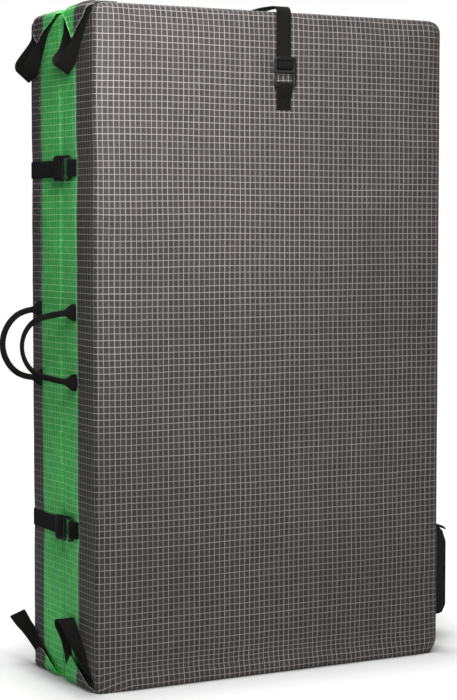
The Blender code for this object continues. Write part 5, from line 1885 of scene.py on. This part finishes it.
def lumbar_place(s, t):
    x = -0.183 + 0.366 * s
    edge = min(1.0, (min(s, 1 - s) * 0.366 / 0.016) ** 0.5) if min(s, 1 - s) * 0.366 < 0.016 else 1.0
    mid, half = (Z0 + Z1) / 2, (Z1 - Z0) / 2 * (0.80 + 0.20 * edge)
    z = mid + (2 * t - 1) * half
    y = on_back(x, max(z, 0.022)).y + 0.0058
    return Vector((x, y, z)), Vector((0, 1, 0))


obj, edge = pillow("lumbar_cushion", lumbar_place, 40, 20, 0.0110, 0.0026, [MESH, PADDING], "back_half", "lumbar_pad", (0.366, 0.146), 0.0020,
                   channels=(("t", 0.5, 0.0026, 0.0040), ("s", 0.33, 0.0022, 0.0040), ("s", 0.67, 0.0022, 0.0040)))
binding("lumbar_binding", edge, "back_half")

# wings of the hip belt
FIN_LEN = 0.4860 - 0.1915


def fin_place(origin, y0):
    def place(s, t):
        x = origin + FIN_LEN * s
        left_in = FIN_LEN * (1 - s)
        z_low, z_high = 0.0040, 0.1556
        r0, r1 = 0.0125, 0.030
        if left_in < r0:
            z_low += r0 - math.sqrt(max(0.0, r0 * r0 - (r0 - left_in) ** 2))
        if left_in < r1:
            z_high -= r1 - math.sqrt(max(0.0, r1 * r1 - (r1 - left_in) ** 2))
        if s < 0.03:
            z_low += 0.004 * (1 - s / 0.03)
            z_high -= 0.004 * (1 - s / 0.03)
        z = z_low + (z_high - z_low) * t
        return Vector((x, y0 + 0.0060, z)), Vector((0, 1, 0))
    return place


for side, origin, y0 in (("right", 0.1915, BACK + 0.0012), ("left", -0.1895, BACK + 0.0150)):
    body = side + "_fin"
    obj, edge = pillow(side + "_wing", fin_place(origin, y0), 46, 22, 0.0118, 0.0030, [PADDING, MESH] if side == "right" else [MESH, PADDING], body, side + "_hip_fin",
                       (FIN_LEN, 0.149), 0.0016, channels=(("t", 0.5, 0.0010, 0.0160),))
    rim = binding(side + "_wing_binding", edge, body, width=0.0110, thick=0.0034)
    if side == "right":
        for piece in (obj, rim, bpy.data.objects["right_wing_binding_stitching"]):
            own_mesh(piece)
    yo = y0 + 0.0118
    start = origin + 0.090
    web = band(side + "_belt_webbing", [Vector((start - 0.004 + (0.184) * k / 40, yo + 0.0016, 0.0807)) for k in range(41)], Vector((0, 0, 1)), 0.0014)
    done(web, body, [side + "_belt_web"])
    rows = []
    for dz in (-0.0095, 0.0095):
        rows += stitch_row([Vector((start + 0.062, yo + 0.0025, 0.0807 + dz)), Vector((start + 0.174, yo + 0.0025, 0.0807 + dz))], Vector((0, 1, 0)), 0.0042)
    st = stitches(side + "_belt_stitching", rows, THREAD_DARK, 0.0030, 0.00028)
    done(st, body)
    b0 = start - 0.046
    fr = Frame((b0, yo + 0.0046, 0.0807), (1, 0, 0), (0, 0, 1), (0, -1, 0))
    if side == "right":
        out = rounded([(0.0, -0.0170), (0.0100, -0.0195), (0.0440, -0.0172), (0.0455, -0.0150), (0.0455, 0.0150), (0.0440, 0.0172), (0.0100, 0.0195), (0.0, 0.0170)], 0.0030, 4)
        part = moulded("right_socket_shell", out, [slot_hole(0.0360, 0.0405, -0.0132, 0.0132), slot_hole(0.0120, 0.0240, -0.0185, -0.0150, 0.001), slot_hole(0.0120, 0.0240, 0.0150, 0.0185, 0.001)],
                       0.0040, 0.0016, fr, lambda u, v, w: (u, v, w * (0.72 + 0.28 * math.cos(v / 0.0195 * 1.2))))
        rib = [tube(f"right_socket_rib{k}", [fr.at(0.006 + 0.0035 * k, -0.0085, -0.0040), fr.at(0.006 + 0.0035 * k, 0.0, -0.0043), fr.at(0.006 + 0.0035 * k, 0.0085, -0.0040)], 0.0005, PLASTIC, sides=6) for k in range(5)]
        part = joined("right_socket", [part] + rib)
    else:
        out = rounded([
            (0.0455, -0.0172), (0.0455, 0.0172), (0.0260, 0.0180), (0.0100, 0.0188), (0.0000, 0.0140), (0.0060, 0.0108), (0.0225, 0.0100), (0.0228, 0.0042),
            (0.0010, 0.0026), (0.0010, -0.0026), (0.0228, -0.0042), (0.0225, -0.0100), (0.0060, -0.0108), (0.0000, -0.0140), (0.0100, -0.0188), (0.0260, -0.0180)],
            [0.003, 0.003, 0.004, 0.004, 0.0015, 0.002, 0.002, 0.002, 0.001, 0.001, 0.002, 0.002, 0.002, 0.0015, 0.004, 0.004], 4)
        part = moulded("left_prongs_shell", out, [slot_hole(0.0360, 0.0405, -0.0132, 0.0132)], 0.0036, 0.0013, fr)
        rib = [tube(f"left_prong_rib{k}", [fr.at(0.027 + 0.0026 * k, -0.0100, -0.0036), fr.at(0.027 + 0.0026 * k, 0.0, -0.0038), fr.at(0.027 + 0.0026 * k, 0.0100, -0.0036)], 0.0005, PLASTIC, sides=6) for k in range(3)]
        part = joined("left_prongs", [part] + rib)
    done(part, body, [side + "_belt_buckle"])
    # hinge cloth between the wing and the pad it is sewn to
    if side == "right":
        edge_pts = [Vector((0.1780, on_back(0.178, 0.08).y + 0.0040, 0.0)), Vector((0.1860, BACK + 0.0056, 0.0)), Vector((0.1960, BACK + 0.0064, 0.0))]
        a, b = (0.1800, 0.1960)
    else:
        edge_pts = [Vector((-0.1780, BACK + 0.0125, 0.0)), Vector((-0.1880, BACK + 0.0120, 0.0)), Vector((-0.1930, BACK + 0.0165, 0.0)), Vector((-0.1880, BACK + 0.0205, 0.0)), Vector((-0.1800, BACK + 0.0212, 0.0))]
        a, b = (0, 0)
    line = resample(smooth_path(edge_pts, 5), 0.0015)
    cloth = band(side + "_wing_joint", [p + Vector((0, 0, 0.0810)) for p in line], Vector((0, 0, 1)), 0.0012, PADDING, width=0.126)
    if side == "right":
        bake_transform(cloth)
    else:
        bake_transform(cloth)

tab_pts = [Vector((0.4430, BACK + 0.0060, 0.1545)), Vector((0.4500, BACK + 0.0060, 0.1578)), Vector((0.4600, BACK + 0.0060, 0.1574)), Vector((0.4700, BACK + 0.0060, 0.1552)), Vector((0.4790, BACK + 0.0060, 0.1522)),
           Vector((0.4840, BACK + 0.0060, 0.1502))]
obj = band("right_wing_tab", resample(smooth_path(tab_pts, 4), 0.0015), Vector((0, 0.90, 0.34)), 0.0024, width=0.0100)
done(obj, "right_fin", ["right_fin_tab"])
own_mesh(obj)

# the filled cloth settles below the foam it holds: everything near the foot goes down with it
SETTLE = 0.0044
for obj in list(scene.objects):
    if obj.type == "MESH" and obj.name not in frame["nodes"]:
        for v in obj.data.vertices:
            if v.co.z < 0.05:
                v.co.z -= SETTLE * (1.0 - v.co.z / 0.05) ** 2
        obj.data.update()

# ======================================================================
# floor, light, camera
# ======================================================================
floor_mesh = bpy.data.meshes.new("floor")
bm = bmesh.new()
bmesh.ops.create_grid(bm, x_segments=8, y_segments=8, size=14.0)
bm.to_mesh(floor_mesh)
bm.free()
floor = bpy.data.objects.new("floor", floor_mesh)
floor.location = (0, 0, -SETTLE)
scene.collection.objects.link(floor)
fm = Nodes("floor_paper", rough=0.9, specular=0.1)
tone = fm.noise(fm.coords(), 1.5, 3.0, 0.5)
fm.colour(fm.mix(tone, (0.60, 0.60, 0.60), (0.63, 0.63, 0.63)))
fm.bsdf.inputs["Emission Color"].default_value = (1, 1, 1, 1)
far = fm.nt.nodes.new("ShaderNodeVectorMath")
far.operation = "LENGTH"
fm.nt.links.new(fm.coords(), far.inputs[0])
sep = fm.nt.nodes.new("ShaderNodeSeparateXYZ")
fm.nt.links.new(fm.coords(), sep.inputs[0])
# distance from the pad's footprint: the floor's glow, seen only by camera rays, is dimmed near it as a painted contact
# shadow and is brightest away from it
dx = fm.math("MAXIMUM", fm.math("SUBTRACT", fm.math("ABSOLUTE", fm.math("SUBTRACT", sep.outputs[0], OFF.x)), 0.290), 0.0)
dy = fm.math("MAXIMUM", fm.math("SUBTRACT", fm.math("ABSOLUTE", fm.math("SUBTRACT", sep.outputs[1], OFF.y)), 0.115), 0.0)
near = fm.math("SQRT", fm.math("ADD", fm.math("MULTIPLY", dx, dx), fm.math("MULTIPLY", dy, dy)))
aside = fm.math("DIVIDE", dx, fm.math("ADD", fm.math("ADD", dx, dy), 0.002))
# painted shadow along the pad's sides, darkest at its foot
side_shadow = fm.math("MULTIPLY", fm.range(near, 0.002, 0.060, 1.0, 0.0), aside)
lit = fm.math("ADD", fm.range(near, 0.0, 0.008, 0.0, 0.335), fm.range(near, 0.010, 0.090, 0.0, 0.155))
lit = fm.math("MULTIPLY", lit, fm.math("SUBTRACT", 1.0, side_shadow))
# painted shadow of the right hip wing: a dark patch in the floor's glow beside the pad
wx = fm.math("SUBTRACT", sep.outputs[0], OFF.x + 0.345)
wy = fm.math("SUBTRACT", sep.outputs[1], OFF.y + 0.015)
wing_shadow_dist = fm.math("SQRT", fm.math("ADD", fm.math("MULTIPLY", wx, wx), fm.math("MULTIPLY", wy, wy)))
lit = fm.math("MULTIPLY", lit, fm.range(wing_shadow_dist, 0.015, 0.085, 0.2, 1.0))
lit = fm.math("ADD", fm.math("ADD", lit, fm.range(near, 0.06, 0.22, 0.0, 0.25)), fm.range(far.outputs["Value"], 0.6, 2.2, 0.0, 0.24))
fm.put(fm.bsdf.inputs["Emission Strength"], fm.math("MULTIPLY", lit, fm.nt.nodes.new("ShaderNodeLightPath").outputs["Is Camera Ray"]))
floor_mesh.materials.append(fm.mat)

world = bpy.data.worlds.new("studio")
world.use_nodes = True
scene.world = world
wn = world.node_tree
for node in list(wn.nodes):
    wn.nodes.remove(node)
out = wn.nodes.new("ShaderNodeOutputWorld")
seen = wn.nodes.new("ShaderNodeBackground")
seen.inputs[0].default_value = (1, 1, 1, 1)
seen.inputs[1].default_value = 1.0
fill = wn.nodes.new("ShaderNodeBackground")
fill.inputs[0].default_value = (1.0, 1.0, 1.0, 1)
fill.inputs[1].default_value = 0.045
path = wn.nodes.new("ShaderNodeLightPath")
mix = wn.nodes.new("ShaderNodeMixShader")
wn.links.new(path.outputs["Is Camera Ray"], mix.inputs[0])
wn.links.new(fill.outputs[0], mix.inputs[1])
wn.links.new(seen.outputs[0], mix.inputs[2])
wn.links.new(mix.outputs[0], out.inputs[0])


def area(name, at, aim, size, power, colour=(1, 1, 1)):
    data = bpy.data.lights.new(name, "AREA")
    data.shape = "RECTANGLE"
    data.size, data.size_y = size
    data.energy = power
    data.color = colour
    o = bpy.data.objects.new(name, data)
    o.location = at
    d = Vector(aim) - Vector(at)
    o.rotation_euler = d.to_track_quat("-Z", "Y").to_euler()
    o.visible_camera = False
    scene.collection.objects.link(o)
    return o


area("key_softbox", (-0.48, -0.86, 1.17), (-0.15, -0.118, 0.76), (0.50, 0.50), 11.0)
area("front_fill", (1.2, -3.0, 1.2), (0.0, 0.0, 0.5), (2.0, 2.0), 12.5)
area("back_fill", (0.9, 3.0, 1.5), (0.0, 0.1, 0.5), (2.0, 2.0), 34.0)
area("overhead", (0.0, -0.1, 2.9), (0.0, -0.1, 0.0), (2.2, 2.2), 37.0)
area("left_strip", (-2.4, -0.6, 1.0), (-0.3, 0.0, 0.5), (0.25, 1.6), 1.1)

cam_data = bpy.data.cameras.new("camera")
cam_data.sensor_fit = "VERTICAL"
cam_data.sensor_height = 36.0
cam_data.lens = 100.43
cam_data.clip_end = 100.0
cam = bpy.data.objects.new("camera", cam_data)
yaw, pitch = math.radians(28.588), math.radians(3.684)
forward = Vector((math.sin(yaw) * math.cos(pitch), math.cos(yaw) * math.cos(pitch), -math.sin(pitch)))
cam.rotation_euler = forward.to_track_quat("-Z", "Y").to_euler()
cam.location = Vector((-1.4760, -2.6809, 0.6815)) + OFF
scene.collection.objects.link(cam)
scene.camera = cam
scene.view_settings.view_transform = "Standard"
scene.view_settings.look = "None"
scene.view_settings.exposure = 0.0
scene.view_settings.gamma = 1.0
